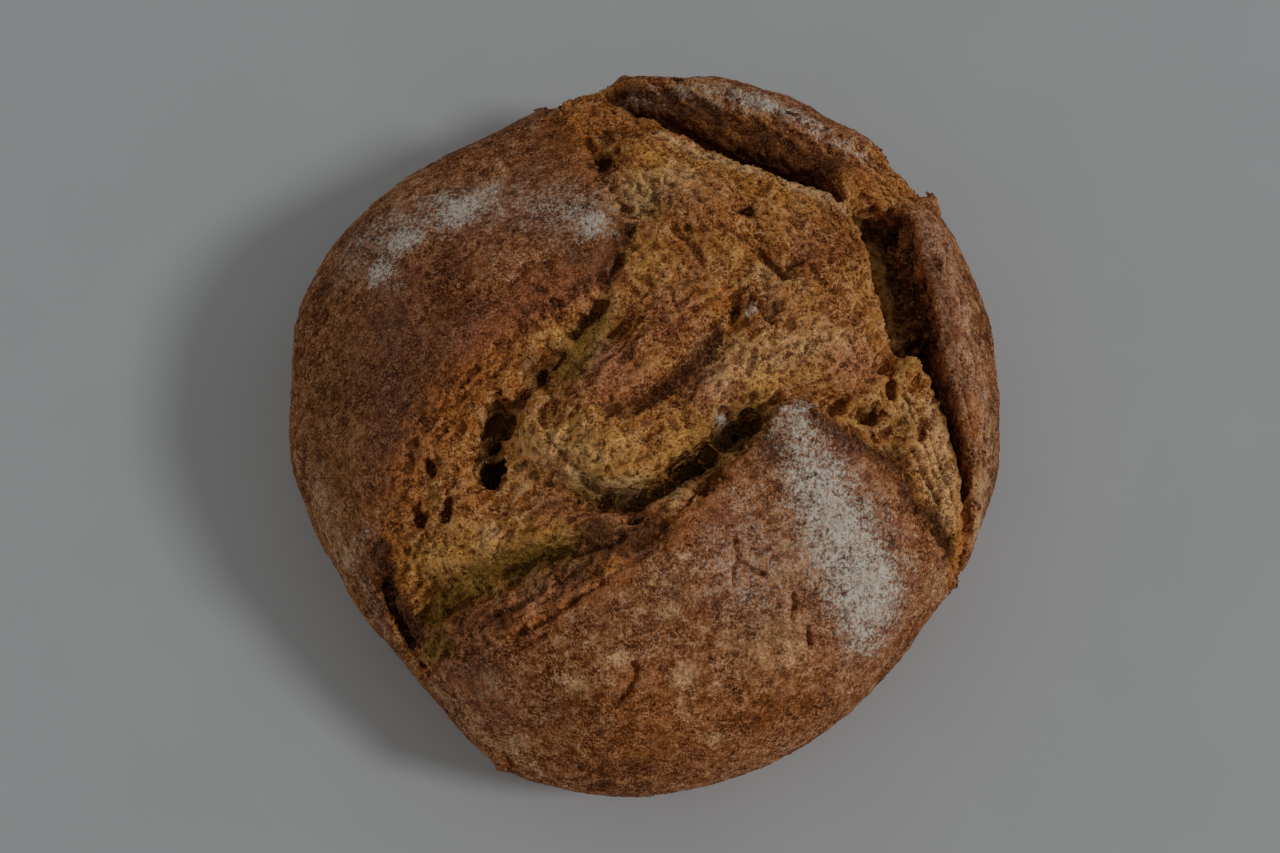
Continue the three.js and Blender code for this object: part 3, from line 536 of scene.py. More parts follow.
# where each finish and each painted light or shade lies, in the soft patches and soft lines that soften()
# takes
finishSet = {
    "flourAndGapLight": [
        ([(42, -18), (46, -28), (50, -38)], 9, 0.36), ([(50, -38), (56, -48)], 13, 0.46),
        ([(58, -52), (64, -60), (69, -68)], 16, 0.52), ([(68, -72), (68, -79)], 13, 0.40), (55, -47, 6, 0.62),
        (63, -61, 7, 0.68), (73, -65, 5, 0.62), (67, -78, 6, 0.54), (49, -34, 4, 0.46),
        ([(46, -34), (58, -56), (66, -76)], 27, 0.16), (30, -58, 22, 0.24), (24, -42, 10, 0.12),
        (52, -66, 26, 0.12), (0, -66, 26, 0.14), (12, -76, 20, 0.12), (-46, -98, 16, 0.15),
        (41, -98, 16, 0.05), (0, -112, 22, 0.05),
        ([(-89, 42), (-75, 50), (-58, 55), (-40, 55), (-26, 49), (-16, 43)], 16, 0.25), (-44, 40, 14, 0.12),
        ([(-72, 16), (-74, -14), (-78, -42)], 13, 0.13), (-57, 51, 7, 0.84), (-49, 59, 6, 0.54),
        (-72, 42, 6, 0.74), (-79, 33, 5.5, 0.68), (-64, 58, 6, 0.42), (-60, 43, 6, 0.3), (-74, 27, 8, 0.22),
        ([(-108, -30), (-106, -44), (-100, -58)], 7, 0.2), (-16, 41, 5, 0.66), (-22, 47, 6, 0.42),
        (-31, 46, 8, 0.24), (-84, 52, 9, 0.24),
        ([(0, 107), (10, 106), (22, 102), (37, 96), (48, 91), (58, 85), (70, 78)], 7, 0.34),
        ([(30, 99), (37, 96), (45, 92)], 2.6, 0.7), ([(50, 89), (58, 84)], 2.6, 0.55),
        # the thin grey veil in the gaps on the right and in front is painted light that lifts their shade
        ([(70, 50), (76, 34), (80, 18)], 7, 0.15), ([(22, -26), (32, -20)], 4, 0.2),
        ([(9, -36), (19, -30)], 3.5, 0.2),
        ([(92, 50), (99, 22), (105, 4), (110, -10), (116, -24), (122, -42)], 13, 0.19), (93, 46, 6, 0.14),
        ([(-21, -35), (-13, -36.3), (-5, -36.3)], 1.6, 0.16), (22, -19, 2.4, 0.8), (29, 13, 2, 1),
        ([(-88, -48), (-93, -60), (-90, -80)], 8, 0.2),
    ],
    # pale tan places, and painted light on some slopes and lower edges of the torn crumb
    "tanAndLight": [
        (6, -70, 2.4, 1), (10, -87, 4.5, 0.8), (-7, -81, 3, 0.9), (-20, -88, 5, 0.6), (20, -107, 2.6, 0.9),
        (-38, -109, 4, 0.6), (-45, -92, 5, 0.45), (41, -86, 4, 0.6), (30, -60, 9, 0.35), (12, -96, 7, 0.3),
        (22, -80, 5, 0.35), (98, 40, 6, 0.5), (-12, -100, 4, 0.4), (-62, -100, 5, 0.3),
        ([(4, 76), (12, 70), (22, 65), (33, 60)], 2.6, 0.8), ([(42, 56), (52, 53), (62, 52)], 3, 0.9),
        (91, -34, 6, 0.8), (97, -44, 6, 0.6), ([(86, -8), (92, -20), (98, -34)], 3.5, 0.6),
        ([(18, 0), (32, -2), (46, 2), (56, 6)], 8, 0.5), (66, -10, 3, 0.5), (-13, 58, 4, 0.6),
        (22, -20, 4, 0.6), ([(-12, 3), (-17, -1)], 4, 0.6), ([(-30, -40), (-16, -42), (-4, -39)], 3, 0.2),
        (-50, 60, 9, 0.4), (44, 14, 6, 0.3), ([(-32, -28), (-15, -29)], 7.5, 0.45), (-45, -17, 6, 0.5),
        (-46, -30, 5, 0.4), (98, -66, 8, 0.6), (92, -74, 6, 0.4), (6, -62, 8, 0.4), (20, -8, 6, 0.6),
        (8, -40, 4, 0.6), (-32, -66, 5, 0.4), ([(-108, -30), (-106, -44), (-100, -58)], 7, 0.4),
        (-4, -27, 6, 0.4), ([(-21, -34.5), (-13, -36), (-2, -36)], 2, 1),
        ([(93, 48), (98, 30), (103, 12), (108, -6), (114, -22)], 12, 0.36), (34, 22, 7, 0.5),
        (21, -12, 6, 0.5), (-46, -52, 6, 0.6), (34, -80, 16, 0.4), (20, 102, 8, 0.5), (50, -58, 20, 0.4),
        (-31, -64, 5, 0.5), (34, -66, 14, 0.3), (42, -86, 12, 0.35),
        ([(-70, -100), (-54, -112), (-34, -120)], 8, 0.4), (36, 12, 7, 0.4), (10, 56, 7, 0.6), (-4, 50, 9, 1),
        (22, 103, 8, 0.5), (88, -24, 8, 0.7), (97, -40, 7, 0.7), (78, -12, 6, 0.5), (112, -34, 8, 0.9),
        (118, -46, 8, 0.9), (104, -10, 6, 0.4), (-36, -34, 6, 0.4),
    ],
    # darker, redder bake, with painted shade in the gaps, creases and hollows of the crumb, and darker over
    # the left side
    "bakeAndShade": [
        ([(-6, 38), (-9, 32), (-12, 26)], 3.6, 0.9), (-54, 30, 12, 0.4), (-58, -4, 8, 0.3),
        ([(-12, 30), (-20, 20), (-26, 13)], 2.2, 0.5),
        ([(-6, 104), (6, 95), (18, 87), (28, 80), (38, 75), (50, 69)], 11, 1), (52, 50, 14, 0.28),
        (46, 62, 10, 0.2), ([(86, 46), (90, 30), (94, 14), (100, -2)], 4, 0.5), (60, 74, 6, 0.6),
        (78, 54, 4, 0.8), ([(74, 50), (78, 38), (80, 26), (83, 12)], 3.5, 0.35),
        ([(86, 20), (90, 5), (96, -12), (103, -26)], 5, 0.55),
        ([(20, 6), (15, -3), (9, -8), (1, -13)], 2.8, 0.8), ([(1, -13), (-5, -16), (-10, -18)], 2.4, 0.7),
        (-74, 12, 15, 0.45), (-76, -20, 11, 0.35), (36, -28, 6, 0.8), (-24, -42, 6, 0.4), (58, -29, 6, 0.4),
        ([(45, -16), (58, -25), (71, -28), (79, -33), (80, -40), (90, -45), (102, -56)], 3, 0.9),
        (-2, -44, 6, 0.3), ([(-14, -58), (-22, -62)], 4, 0.5), ([(-42, -73), (-54, -77)], 5, 0.6),
        (-84, 0, 26, 0.4), (-96, -22, 20, 0.35), (0, -108, 24, 0.22), (3, 7, 5, 0.3), (30, 7, 3, 0.4),
        (46, 30, 6, 0.35), ([(-84, -56), (-82, -68), (-76, -80)], 5, 0.9), (-14, 66, 5, 0.6),
        (-12, 78, 5, 0.5), ([(-54, 14), (-64, 4), (-74, -8)], 12, 0.5), (-48, 27, 10, 0.3), (-19, 32, 8, 0.6),
        (-36, 62, 12, 0.3), (-20, 60, 8, 0.3), ([(-77, -34), (-81, -50)], 5, 0.35), (-50, -88, 14, 0.5),
        (-44, -102, 12, 0.35), (-24, -96, 14, 0.4), (-62, -66, 8, 0.35), (-50, 0, 9, 0.3), (-30, -3, 6, 0.6),
        (58, 36, 12, 0.35), (66, 50, 10, 0.35), ([(-13, -50), (-4, -52), (2, -49)], 5.5, 0.95),
        (20, 68, 6, 0.3),
    ],
    # olive tint: painted shade in the crumb's dark hollows and gaps, and an olive hue on the crust on the
    # left
    "oliveAndShade": [
        ([(-68, -75), (-60, -69), (-52, -65), (-47, -62)], 5, 0.95),
        ([(-46, -61), (-32, -56), (-20, -53)], 3.8, 0.9), ([(23, -25), (32, -20)], 6, 0.8),
        ([(9, -36), (19, -29)], 5, 0.7), (-66, -84, 7, 0.9), ([(-13, 10), (-18, 3), (-22, -4)], 4, 1),
        (90, -8, 2.5, 0.5), (66, -15, 4, 0.4), (77, -16, 4, 0.6), (77, 2, 4, 0.5), (75, -25, 4, 0.7),
        (2, 46, 4, 0.4), (-16, 68, 4, 0.8), (-30, -6, 4, 0.6), (-90, 12, 16, 0.5), (-100, -8, 16, 0.6),
        (-92, -28, 14, 0.6), (-96, -48, 12, 0.5), (-76, 26, 12, 0.3),
        ([(-18, -36), (-8, -38), (4, -36)], 3, 0.6),
    ],
    # pinkish crust and crumb
    "rosy": [
        (17, -9, 8, 0.8), (6, 14, 7, 0.5), (-74, 14, 14, 0.5), (-74, -20, 12, 0.5), (6, 6, 7, 0.5),
        (-10, -6, 10, 0.8), (60, -1, 7, 0.8), (46, 33, 9, 0.6), (16, 47, 9, 0.5),
        ([(-30, -41), (-14, -45), (2, -42)], 4, 0.5), ([(-22, -62), (-38, -70), (-54, -79)], 6, 0.8),
        (-58, -92, 14, 0.5), (30, -62, 14, 0.5), (20, -46, 9, 0.5), (50, -70, 12, 0.35), (60, -34, 8, 0.5),
        (76, -50, 8, 0.45), (50, 86, 8, 0.4), (92, 30, 9, 0.5),
        ([(-14, 27), (-26, 19), (-38, 13), (-52, 5)], 6, 1), (-14, 62, 6, 0.5), (60, 20, 6, 0.4),
        (-26, -34, 7, 0.5), ([(92, 50), (96, 34), (100, 14), (104, -6)], 8, 0.6), (-44, 48, 20, 0.4),
        (70, -74, 16, 0.4), (50, 10, 6, 0.4),
    ],
    # orange, worn edge of the crust
    "orange": [
        ([(-14, 30), (-28, 19), (-40, 9), (-52, -4)], 7, 0.55),
        ([(-52, -4), (-63, -14), (-72, -28), (-79, -42), (-84, -58)], 8, 0.9),
        ([(14, -43), (-2, -53), (-18, -64), (-38, -74)], 6, 0.7), ([(-16, 60), (-22, 76), (-28, 92)], 7, 0.8),
        (70, 72, 8, 0.6), (84, -4, 6, 0.4),
        ([(104, -8), (107, -22), (106, -36), (108, -50), (106, -64)], 5, 0.9), (10, 78, 14, 0.4),
        (-10, 92, 14, 0.5), (60, 40, 12, 0.5), (20, 40, 10, 0.4), (0, -100, 20, 0.6), (40, -96, 16, 0.6),
        (4, -112, 20, 0.4),
    ],
    # golden to olive crumb
    "gold": [
        (12, -25, 8, 0.8), (33, -9, 8, 0.9), (46, -10, 7, 0.8), (60, -15, 6, 0.6), (14, -14, 6, 0.5),
        (12, 52, 10, 0.6), (4, 62, 10, 0.6), (62, 24, 8, 0.6), (20, 62, 14, 0.5), (42, 44, 12, 0.4),
        (-16, -28, 10, 0.5), (-2, 29, 6, 0.7), (2, 22, 7, 0.5), (-1, 44, 6, 0.8), (29, 58, 8, 0.6),
        ([(36, 64), (48, 61), (60, 57)], 4, 0.6), ([(-72, -58), (-56, -57), (-40, -55), (-26, -51)], 6, 0.9),
        ([(-62, -66), (-50, -64), (-38, -61)], 4, 0.5), (-14, -49, 3.5, 0.8), (110, -58, 9, 0.7),
        (104, -50, 6, 0.6), (82, 4, 5, 0.7), (91, -34, 9, 0.7), (70, -10, 7, 0.6), (-24, 4, 6, 0.6),
        (98, -46, 8, 0.5), (24, 30, 8, 0.3), (46, 12, 9, 0.3), (5, -28, 3, 0.9),
        ([(-32, -27), (-20, -29), (-8, -30)], 9, 1),
    ],
}


maskSet = {
    "tornSpan": 24,  # mm across the torn edge that the mask tornBy holds
    "deepSpan": 16,  # mm under the dome at which the mask deep is full
    "cavity": {"turns": 3, "gain": 1.4},
    "hollow": {"turns": 24, "gain": 0.45},
    "base": (158, 14),  # where the base's own finish starts and how softly
    "baseShare": {"flourAndGapLight": 0.12, "bakeAndShade": 0.4},
}


# how far each point lies under its surroundings, in mm
def cavityOf(thing, turns):
    co = pointsOf(thing)
    edges = np.empty(len(thing.data.edges) * 2, int)
    thing.data.edges.foreach_get("vertices", edges)
    a, b = edges.reshape(-1, 2).T
    count = np.bincount(a, minlength=len(co)) + np.bincount(b, minlength=len(co))
    around = co.copy()
    for _ in range(turns):
        sums = [
            np.bincount(a, around[b, k], len(co)) + np.bincount(b, around[a, k], len(co)) for k in range(3)
        ]
        around = np.stack(sums, 1) / count[:, None]
    return ((around - co) * normalsOf(thing)).sum(1) / mm


u, v, walked, depth = placesOnSkin(pointsOf(loaf))
inTear = insideBy(tearLine, u, v)
setAttribute(loaf, "tornBy", np.clip(0.5 + inTear / maskSet["tornSpan"], 0, 1))
# the base is baked darker, with a thin veil of flour
baseStart, baseWidth = maskSet["base"]
base = smoothStep((walked - baseStart) / baseWidth)
for name, places in finishSet.items():
    share = soften(places, u, v) + maskSet["baseShare"].get(name, 0) * base
    setAttribute(loaf, name, np.clip(share, 0, 1))
setAttribute(loaf, "deep", np.clip(depth / maskSet["deepSpan"], 0, 1))
for name in ("cavity", "hollow"):
    under = cavityOf(loaf, maskSet[name]["turns"]) * maskSet[name]["gain"]
    setAttribute(loaf, name, np.clip(0.5 + under, 0, 1))
for group in list(loaf.vertex_groups):
    loaf.vertex_groups.remove(group)
selectOnly(loaf)
bpy.ops.object.shade_smooth()
print("masks are on")

# the finished skin, for what lies on it
skin = {
    "co": pointsOf(loaf),
    "normal": normalsOf(loaf),
    "faces": facesOf(loaf),
    "u": u,
    "v": v,
    "inTear": inTear,
    "walked": walked,
    "depth": depth,
    "flourAndGapLight": np.clip(soften(finishSet["flourAndGapLight"], u, v), 0, 1),
}


def node(tree, kind, inputs=None, **settings):
    made = tree.nodes.new(kind)
    for key, value in settings.items():
        setattr(made, key, value)
    for key, value in (inputs or {}).items():
        if isinstance(value, bpy.types.NodeSocket):
            tree.links.new(value, made.inputs[key])
        else:
            made.inputs[key].default_value = value
    return made


def newGroup(name, ins, outs):
    tree = bpy.data.node_groups.new(name, "ShaderNodeTree")
    for label, kind, value in ins:
        socket = tree.interface.new_socket(name=label, in_out="INPUT", socket_type="NodeSocket" + kind)
        if value is not None:
            socket.default_value = value
    for label, kind in outs:
        tree.interface.new_socket(name=label, in_out="OUTPUT", socket_type="NodeSocket" + kind)
    return tree, tree.nodes.new("NodeGroupInput").outputs, tree.nodes.new("NodeGroupOutput").inputs


def useGroup(tree, group, inputs):
    return node(tree, "ShaderNodeGroup", inputs, node_tree=group).outputs


def calc(tree, operation, a, b=None, c=None, clamp=False):
    inputs = {k: value for k, value in enumerate((a, b, c)) if value is not None}
    return node(tree, "ShaderNodeMath", inputs, operation=operation, use_clamp=clamp).outputs[0]


def blendColours(tree, share, a, b, how="MIX"):
    return node(tree, "ShaderNodeMix", {0: share, 6: a, 7: b}, data_type="RGBA", blend_type=how).outputs[2]


# soft noise whose features are about size millimetres
def noise(tree, where, size, detail=3.0, rough=0.55, turn=0.0):
    inputs = {"Scale": 1 / (size * mm), "Detail": detail, "Roughness": rough, "Distortion": turn}
    return node(tree, "ShaderNodeTexNoise", {"Vector": where, **inputs}).outputs[0]


def between(tree, value, low, high, out=(0, 1)):
    return node(tree, "ShaderNodeMapRange", {
        "Value": value, "From Min": low, "From Max": high, "To Min": out[0], "To Max": out[1]},
        interpolation_type="SMOOTHSTEP").outputs[0]


def ramp(tree, value, stops):
    made = node(tree, "ShaderNodeValToRGB", {0: value})
    setStops(made.color_ramp.elements, stops)
    return made.outputs[0]


# loose grains: Cover is the share of grains, Size their width by their spacing, and Tone differs among them
def grainsGroup():
    tree, ins, outs = newGroup(
        "looseGrains",
        [("Vector", "Vector", None), ("Scale", "Float", 1000.0), ("Cover", "Float", 0.3),
         ("Size", "Float", 0.42)],
        [("Mask", "Float"), ("Tone", "Float")])
    cells = node(tree, "ShaderNodeTexVoronoi", {"Vector": ins["Vector"], "Scale": ins["Scale"]})
    parts = node(tree, "ShaderNodeSeparateColor", {0: cells.outputs["Color"]}).outputs
    chosen = calc(tree, "LESS_THAN", parts[0], ins["Cover"])
    outer = calc(tree, "ADD", ins["Size"], 0.16)  # the grain's soft edge
    near = node(tree, "ShaderNodeMapRange", {
        "Value": cells.outputs["Distance"], "From Min": outer, "From Max": ins["Size"]}).outputs[0]
    tree.links.new(calc(tree, "MULTIPLY", chosen, near), outs["Mask"])
    tree.links.new(parts[1], outs["Tone"])
    return tree


looseGrains = grainsGroup()


# streaks drawn out along the pull of the torn crumb
def pulledGroup():
    tree, ins, outs = newGroup(
        "pulledCrumb", [("Vector", "Vector", None), ("Scale", "Float", 400.0)], [("Value", "Float")])
    streaks = []
    for degrees in (pullSet["south"], pullSet["north"]):
        turned = node(tree, "ShaderNodeMapping", {
            "Vector": ins["Vector"], "Rotation": (0, 0, math.radians(degrees)), "Scale": (3.4, 1, 1)},
            vector_type="TEXTURE").outputs[0]
        streaks.append(node(tree, "ShaderNodeTexNoise", {
            "Vector": turned, "Scale": ins["Scale"], "Detail": 3.0, "Roughness": 0.6}).outputs[0])
    place = node(tree, "ShaderNodeSeparateXYZ", {0: ins["Vector"]}).outputs
    north = calc(tree, "MULTIPLY_ADD", place[0], -pullSet["slope"], place[1])
    north = between(tree, north, pullSet["borderStart"] * mm, pullSet["borderEnd"] * mm)
    change = calc(tree, "MULTIPLY", calc(tree, "SUBTRACT", streaks[1], streaks[0]), north)
    tree.links.new(calc(tree, "ADD", streaks[0], change), outs["Value"])
    return tree


pulledCrumb = pulledGroup()

# the light dots are partly pale grains and partly painted glints
speckSet = {
    "light": {"Scale": 1500.0, "Cover": 0.45, "Size": 0.17},
    "dark": {"Scale": 1130.0, "Cover": 0.36, "Size": 0.18},
    "pulled": {"Scale": 420.0},
}
# tones go from the darkest speck to the lightest, and the other colours tint them; the burnt, baked and olive
# tints also paint shade, and tan also paints light
crustSet = {
    "tones": [
        (0.06, (0.036, 0.008, 0.002, 1)), (0.32, (0.158, 0.039, 0.007, 1)), (0.50, (0.37, 0.108, 0.023, 1)),
        (0.70, (0.66, 0.265, 0.094, 1)), (0.85, (0.84, 0.46, 0.245, 1)), (0.97, (1.0, 0.74, 0.55, 1)),
    ],
    "burnt": (0.072, 0.019, 0.010, 1),
    "rosy": (0.57, 0.19, 0.110, 1),
    "orange": (0.60, 0.18, 0.028, 1),
    "gold": (0.56, 0.22, 0.045, 1),
    "oliveAndShade": (0.37, 0.165, 0.050, 1),
    "tanAndLight": (0.80, 0.47, 0.22, 1),
    "flourAndGapLight": (1.0, 0.91, 0.77, 1),
    "flourThin": (0.80, 0.53, 0.38, 1),
}
crumbSet = {
    "tones": [
        (0.06, (0.080, 0.016, 0.002, 1)), (0.32, (0.335, 0.085, 0.009, 1)), (0.48, (0.65, 0.209, 0.035, 1)),
        (0.66, (0.90, 0.405, 0.121, 1)), (0.82, (0.98, 0.64, 0.31, 1)), (0.95, (1.0, 0.86, 0.66, 1)),
    ],
    "gold": (0.82, 0.40, 0.072, 1),
    "oliveAndShade": (0.24, 0.126, 0.016, 1),
    "rosy": (0.63, 0.22, 0.115, 1),
    "orange": (0.70, 0.21, 0.026, 1),
    "tanAndLight": (0.92, 0.57, 0.27, 1),
    "baked": (0.115, 0.032, 0.010, 1),
}


def loafMaterial():
    material = bpy.data.materials.new("ryeCrust")
    material.use_nodes = True
    tree = material.node_tree
    shader = tree.nodes["Principled BSDF"]
    where = node(tree, "ShaderNodeTexCoord").outputs["Object"]

    def mask(name):
        return node(tree, "ShaderNodeAttribute", attribute_name=name).outputs["Fac"]

    flourAndGapLight, tanAndLight, bakeAndShade, oliveAndShade, rosy, orange, gold = (mask(name) for name in finishSet)
    tornBy, deep, cavity, hollow = (mask(name) for name in ("tornBy", "deep", "cavity", "hollow"))

    def addTimes(value, share, rest):
        return calc(tree, "MULTIPLY_ADD", value, share, rest)

    def times(a, b, clamp=False):
        return calc(tree, "MULTIPLY", a, b, clamp=clamp)

    def plus(a, b):
        return calc(tree, "ADD", a, b)

    def sumOf(total, parts):
        for value, share in parts:
            total = addTimes(value, share, total)
        return total

    def ease(value, low, high, out=(0, 1)):
        return between(tree, value, low, high, out)

    def spots(size, *finer):
        return noise(tree, where, size, *finer)

    patches = spots(20, 3, 0.55, 0.3)
    mottle = spots(4.5, 4, 0.65, 0.2)
    detail = spots(1.7, 3, 0.7)
    hues = spots(10, 3, 0.6, 0.4)
    tints = spots(3.8, 3, 0.6, 0.5)
    fine = ease(spots(0.8, 2, 0.7), 0.3, 0.7)

    # light and dark dots on a finer noise, strong in some places and faint in others; the light dots are
    # partly pale grains and partly painted glints
    paleDotsAndGlints = useGroup(tree, looseGrains, {"Vector": where, **speckSet["light"]})
    darkDots = useGroup(tree, looseGrains, {"Vector": where, **speckSet["dark"]})
    pulled = useGroup(tree, pulledCrumb, {"Vector": where, **speckSet["pulled"]})["Value"]
    speck = addTimes(fine, 0.48, 0.23)
    glintsAndPaleDots = times(paleDotsAndGlints["Mask"], ease(paleDotsAndGlints["Tone"], 0, 1, (0.3, 0.8)))
    speck = plus(speck, glintsAndPaleDots)
    speck = addTimes(darkDots["Mask"], -0.34, speck)
    grainy = ease(spots(7, 2), 0.36, 0.62, (0.45, 1.05))

    # one tone for crust and crumb: slow patches, mottling and the specks; painted shade darkens it in
    # cavities and painted light lifts it on rises, and the tan and bake masks lift and darken it, partly as
    # painted light and shade
    tone = sumOf(-0.135, (
        (patches, 0.52), (mottle, 0.52), (detail, 0.28), (calc(tree, "SUBTRACT", speck, 0.5), grainy),
        (tanAndLight, 0.09), (gold, 0.05), (bakeAndShade, -0.07), (ease(cavity, 0.66, 0.30, (-0.10, 0.05)), 1.0)))

    # ragged border between crust and crumb
    span = maskSet["tornSpan"]
    away = addTimes(tornBy, float(span), -span / 2)
    ragged = addTimes(spots(2.4, 3, 0.6), 3.0, -1.5)
    away = plus(away, ragged)
    torn = ease(away, -0.25, 0.35)

    rosyShare = addTimes(rosy, 0.6, ease(hues, 0.42, 0.30, (0, 0.3)))
    rosyShare = plus(rosyShare, ease(tints, 0.42, 0.28, (0, 0.45)))
    # bakeAndShadeShare is the bake mask over the mottling: real bake and painted shade together
    bakeAndShadeShare = addTimes(ease(mottle, 0.3, 0.7, (-0.5, 0.5)), bakeAndShade, bakeAndShade)
    bakeAndShadeShare = ease(bakeAndShadeShare, 0.1, 1.0)
    goldShare = addTimes(gold, 0.55, ease(hues, 0.54, 0.70, (0, 0.25)))
    goldShare = plus(goldShare, ease(tints, 0.57, 0.72, (0, 0.45)))

    # how bright the tone is, to put other hues on the same specks
    light = ease(tone, 0.0, 1.0, (0.12, 1.9))
    specks = node(tree, "ShaderNodeCombineColor", {0: light, 1: light, 2: light}).outputs[0]

    def tinted(share, base, tint):
        return blendColours(tree, share, base, blendColours(tree, 1.0, specks, tint, "MULTIPLY"))

    rougher = addTimes(detail, 0.5, addTimes(mottle, 0.45, -0.46))
    crust = ramp(tree, plus(tone, rougher), crustSet["tones"])
    tanAndLightShare = addTimes(mottle, 0.9, calc(tree, "SUBTRACT", tanAndLight, 0.95))
    tanAndLightShare = ease(addTimes(detail, 1.0, tanAndLightShare), 0.1, 1.0)
    # the burnt tint is partly painted shade, and the tan tint partly painted light
    for share, hue in (
        (times(oliveAndShade, 0.6), "oliveAndShade"), (times(rosyShare, 0.8), "rosy"),
        (ease(orange, 0.1, 1.0, (0, 0.5)), "orange"), (times(bakeAndShadeShare, 0.65), "burnt"),
        (times(goldShare, 0.5), "gold"), (times(tanAndLightShare, 0.6), "tanAndLight"),
    ):
        crust = tinted(share, crust, crustSet[hue])

    streaked = addTimes(calc(tree, "SUBTRACT", pulled, 0.5), 0.45, tone)
    crumb = ramp(tree, streaked, crumbSet["tones"])
    # painted shade on the crumb: the olive tint in deep places and the baked tint in cavities, and the olive
    # and bake masks carry more of it
    for share, hue in (
        (goldShare, "gold"), (ease(orange, 0.1, 1.0, (0, 0.55)), "orange"), (rosyShare, "rosy"),
        (times(tanAndLightShare, 0.6), "tanAndLight"), (ease(deep, 0.45, 1.0, (0, 0.6)), "oliveAndShade"),
        (times(oliveAndShade, 0.85), "oliveAndShade"), (times(bakeAndShadeShare, 0.9), "baked"),
        (ease(cavity, 0.64, 0.98, (0, 0.6)), "baked"),
    ):
        crumb = tinted(share, crumb, crumbSet[hue])
    colour = blendColours(tree, torn, crust, crumb)

    # flour: a soft veil in fine clots that keeps to the light specks, thinner in hollows; the thin veil in
    # the gaps is painted light
    clots = ease(spots(1.3, 3, 0.7), 0.3, 0.7, (0.3, 1.6))
    amount = times(flourAndGapLight, times(clots, ease(mottle, 0.3, 0.7, (0.65, 1.3))))
    amount = times(amount, ease(hollow, 0.75, 0.45, (0.4, 1)))
    amount = calc(tree, "MINIMUM", amount, 1.0)
    spread = addTimes(speck, 1.8, times(detail, 0.4))
    spread = times(spread, times(amount, 3.0, clamp=True))
    core = ease(plus(spread, amount), 0.85, 2.2, (0, 0.8))
    dust = addTimes(amount, 0.28, core)
    flourHue = blendColours(tree, ease(amount, 0.15, 0.8), crustSet["flourThin"], crustSet["flourAndGapLight"])
    colour = blendColours(tree, dust, colour, flourHue)
    tree.links.new(colour, shader.inputs["Base Color"])

    # the light specks shine, the dark ones hardly
    rough = addTimes(dust, 0.3, ease(speck, 0.3, 0.95, (0.75, 0.38)))
    tree.links.new(rough, shader.inputs["Roughness"])
    tree.links.new(ease(speck, 0.4, 1.0, (0.04, 0.5)), shader.inputs["Specular IOR Level"])
    shader.inputs["Specular Tint"].default_value = (1.0, 0.78, 0.62, 1)

    height = sumOf(0.0, (
        (detail, 0.9), (fine, 0.45), (mottle, 0.9), (glintsAndPaleDots, 0.5), (darkDots["Mask"], -0.3),
        (times(pulled, torn), 1.1), (dust, 0.12)))
    bump = node(tree, "ShaderNodeBump", {"Height": height, "Strength": 0.9, "Distance": 0.55 * mm})
    tree.links.new(bump.outputs[0], shader.inputs["Normal"])
    return material


# pieces that lie on the skin: how many, their sizes in mm, how flat they are and how far they sink in
scatterSet = {
    # crumbs and flakes lie no further than this from the crown along the skin, and crumbs no deeper, in mm
    "reach": 150,
    "crumbDepth": 34,
    "clearWidth": 11,  # how far from the long gaps the crumbs grow few, in mm
    "flourFrom": 0.3,  # grains of flour lie where its mask is stronger than this
    "flourGrains": {"count": 4200, "sizes": (0.22, 0.55), "flat": 0.6, "sink": 0.15, "seed": 11},
    "crumbGrains": {"count": 6000, "sizes": (0.5, 1.3), "flat": 0.75, "sink": 0.3, "seed": 12},
    "crustFlakes": {"count": 410, "sizes": (0.9, 2.8), "seed": 13},
}


# one rough grain, shaped from a small ball
def grainModel(seed):
    deselectAll()
    bpy.ops.mesh.primitive_ico_sphere_add(subdivisions=1, radius=0.5)
    grain = bpy.context.object
    rng = np.random.default_rng(seed)
    co = pointsOf(grain)
    setPoints(grain, co * rng.uniform(0.7, 1.15, (len(co), 1)))
    return grain


# one torn flake: a bent, ragged plate one unit long, its root at the origin and its free end along x
def flakeModel(seed):
    deselectAll()
    bpy.ops.mesh.primitive_grid_add(x_subdivisions=4, y_subdivisions=3, size=1, location=(0.5, 0, 0))
    flake = bpy.context.object
    bpy.ops.object.transform_apply(location=True)
    rng = np.random.default_rng(seed)
    co = pointsOf(flake)
    free = np.clip(co[:, 0], 0, 1)
    co[:, 0] += rng.uniform(-0.16, 0.16, len(co)) * free
    co[:, 1] = co[:, 1] * (1 - 0.4 * free) + rng.uniform(-0.1, 0.1, len(co))
    co[:, 2] += 0.34 * free**2 + rng.uniform(-0.05, 0.05, len(co))
    setPoints(flake, co)
    step = flake.modifiers.new("thick", "SOLIDIFY")
    step.thickness = 0.16
    step.offset = 0
    applyModifier(flake, "thick")
    return flake


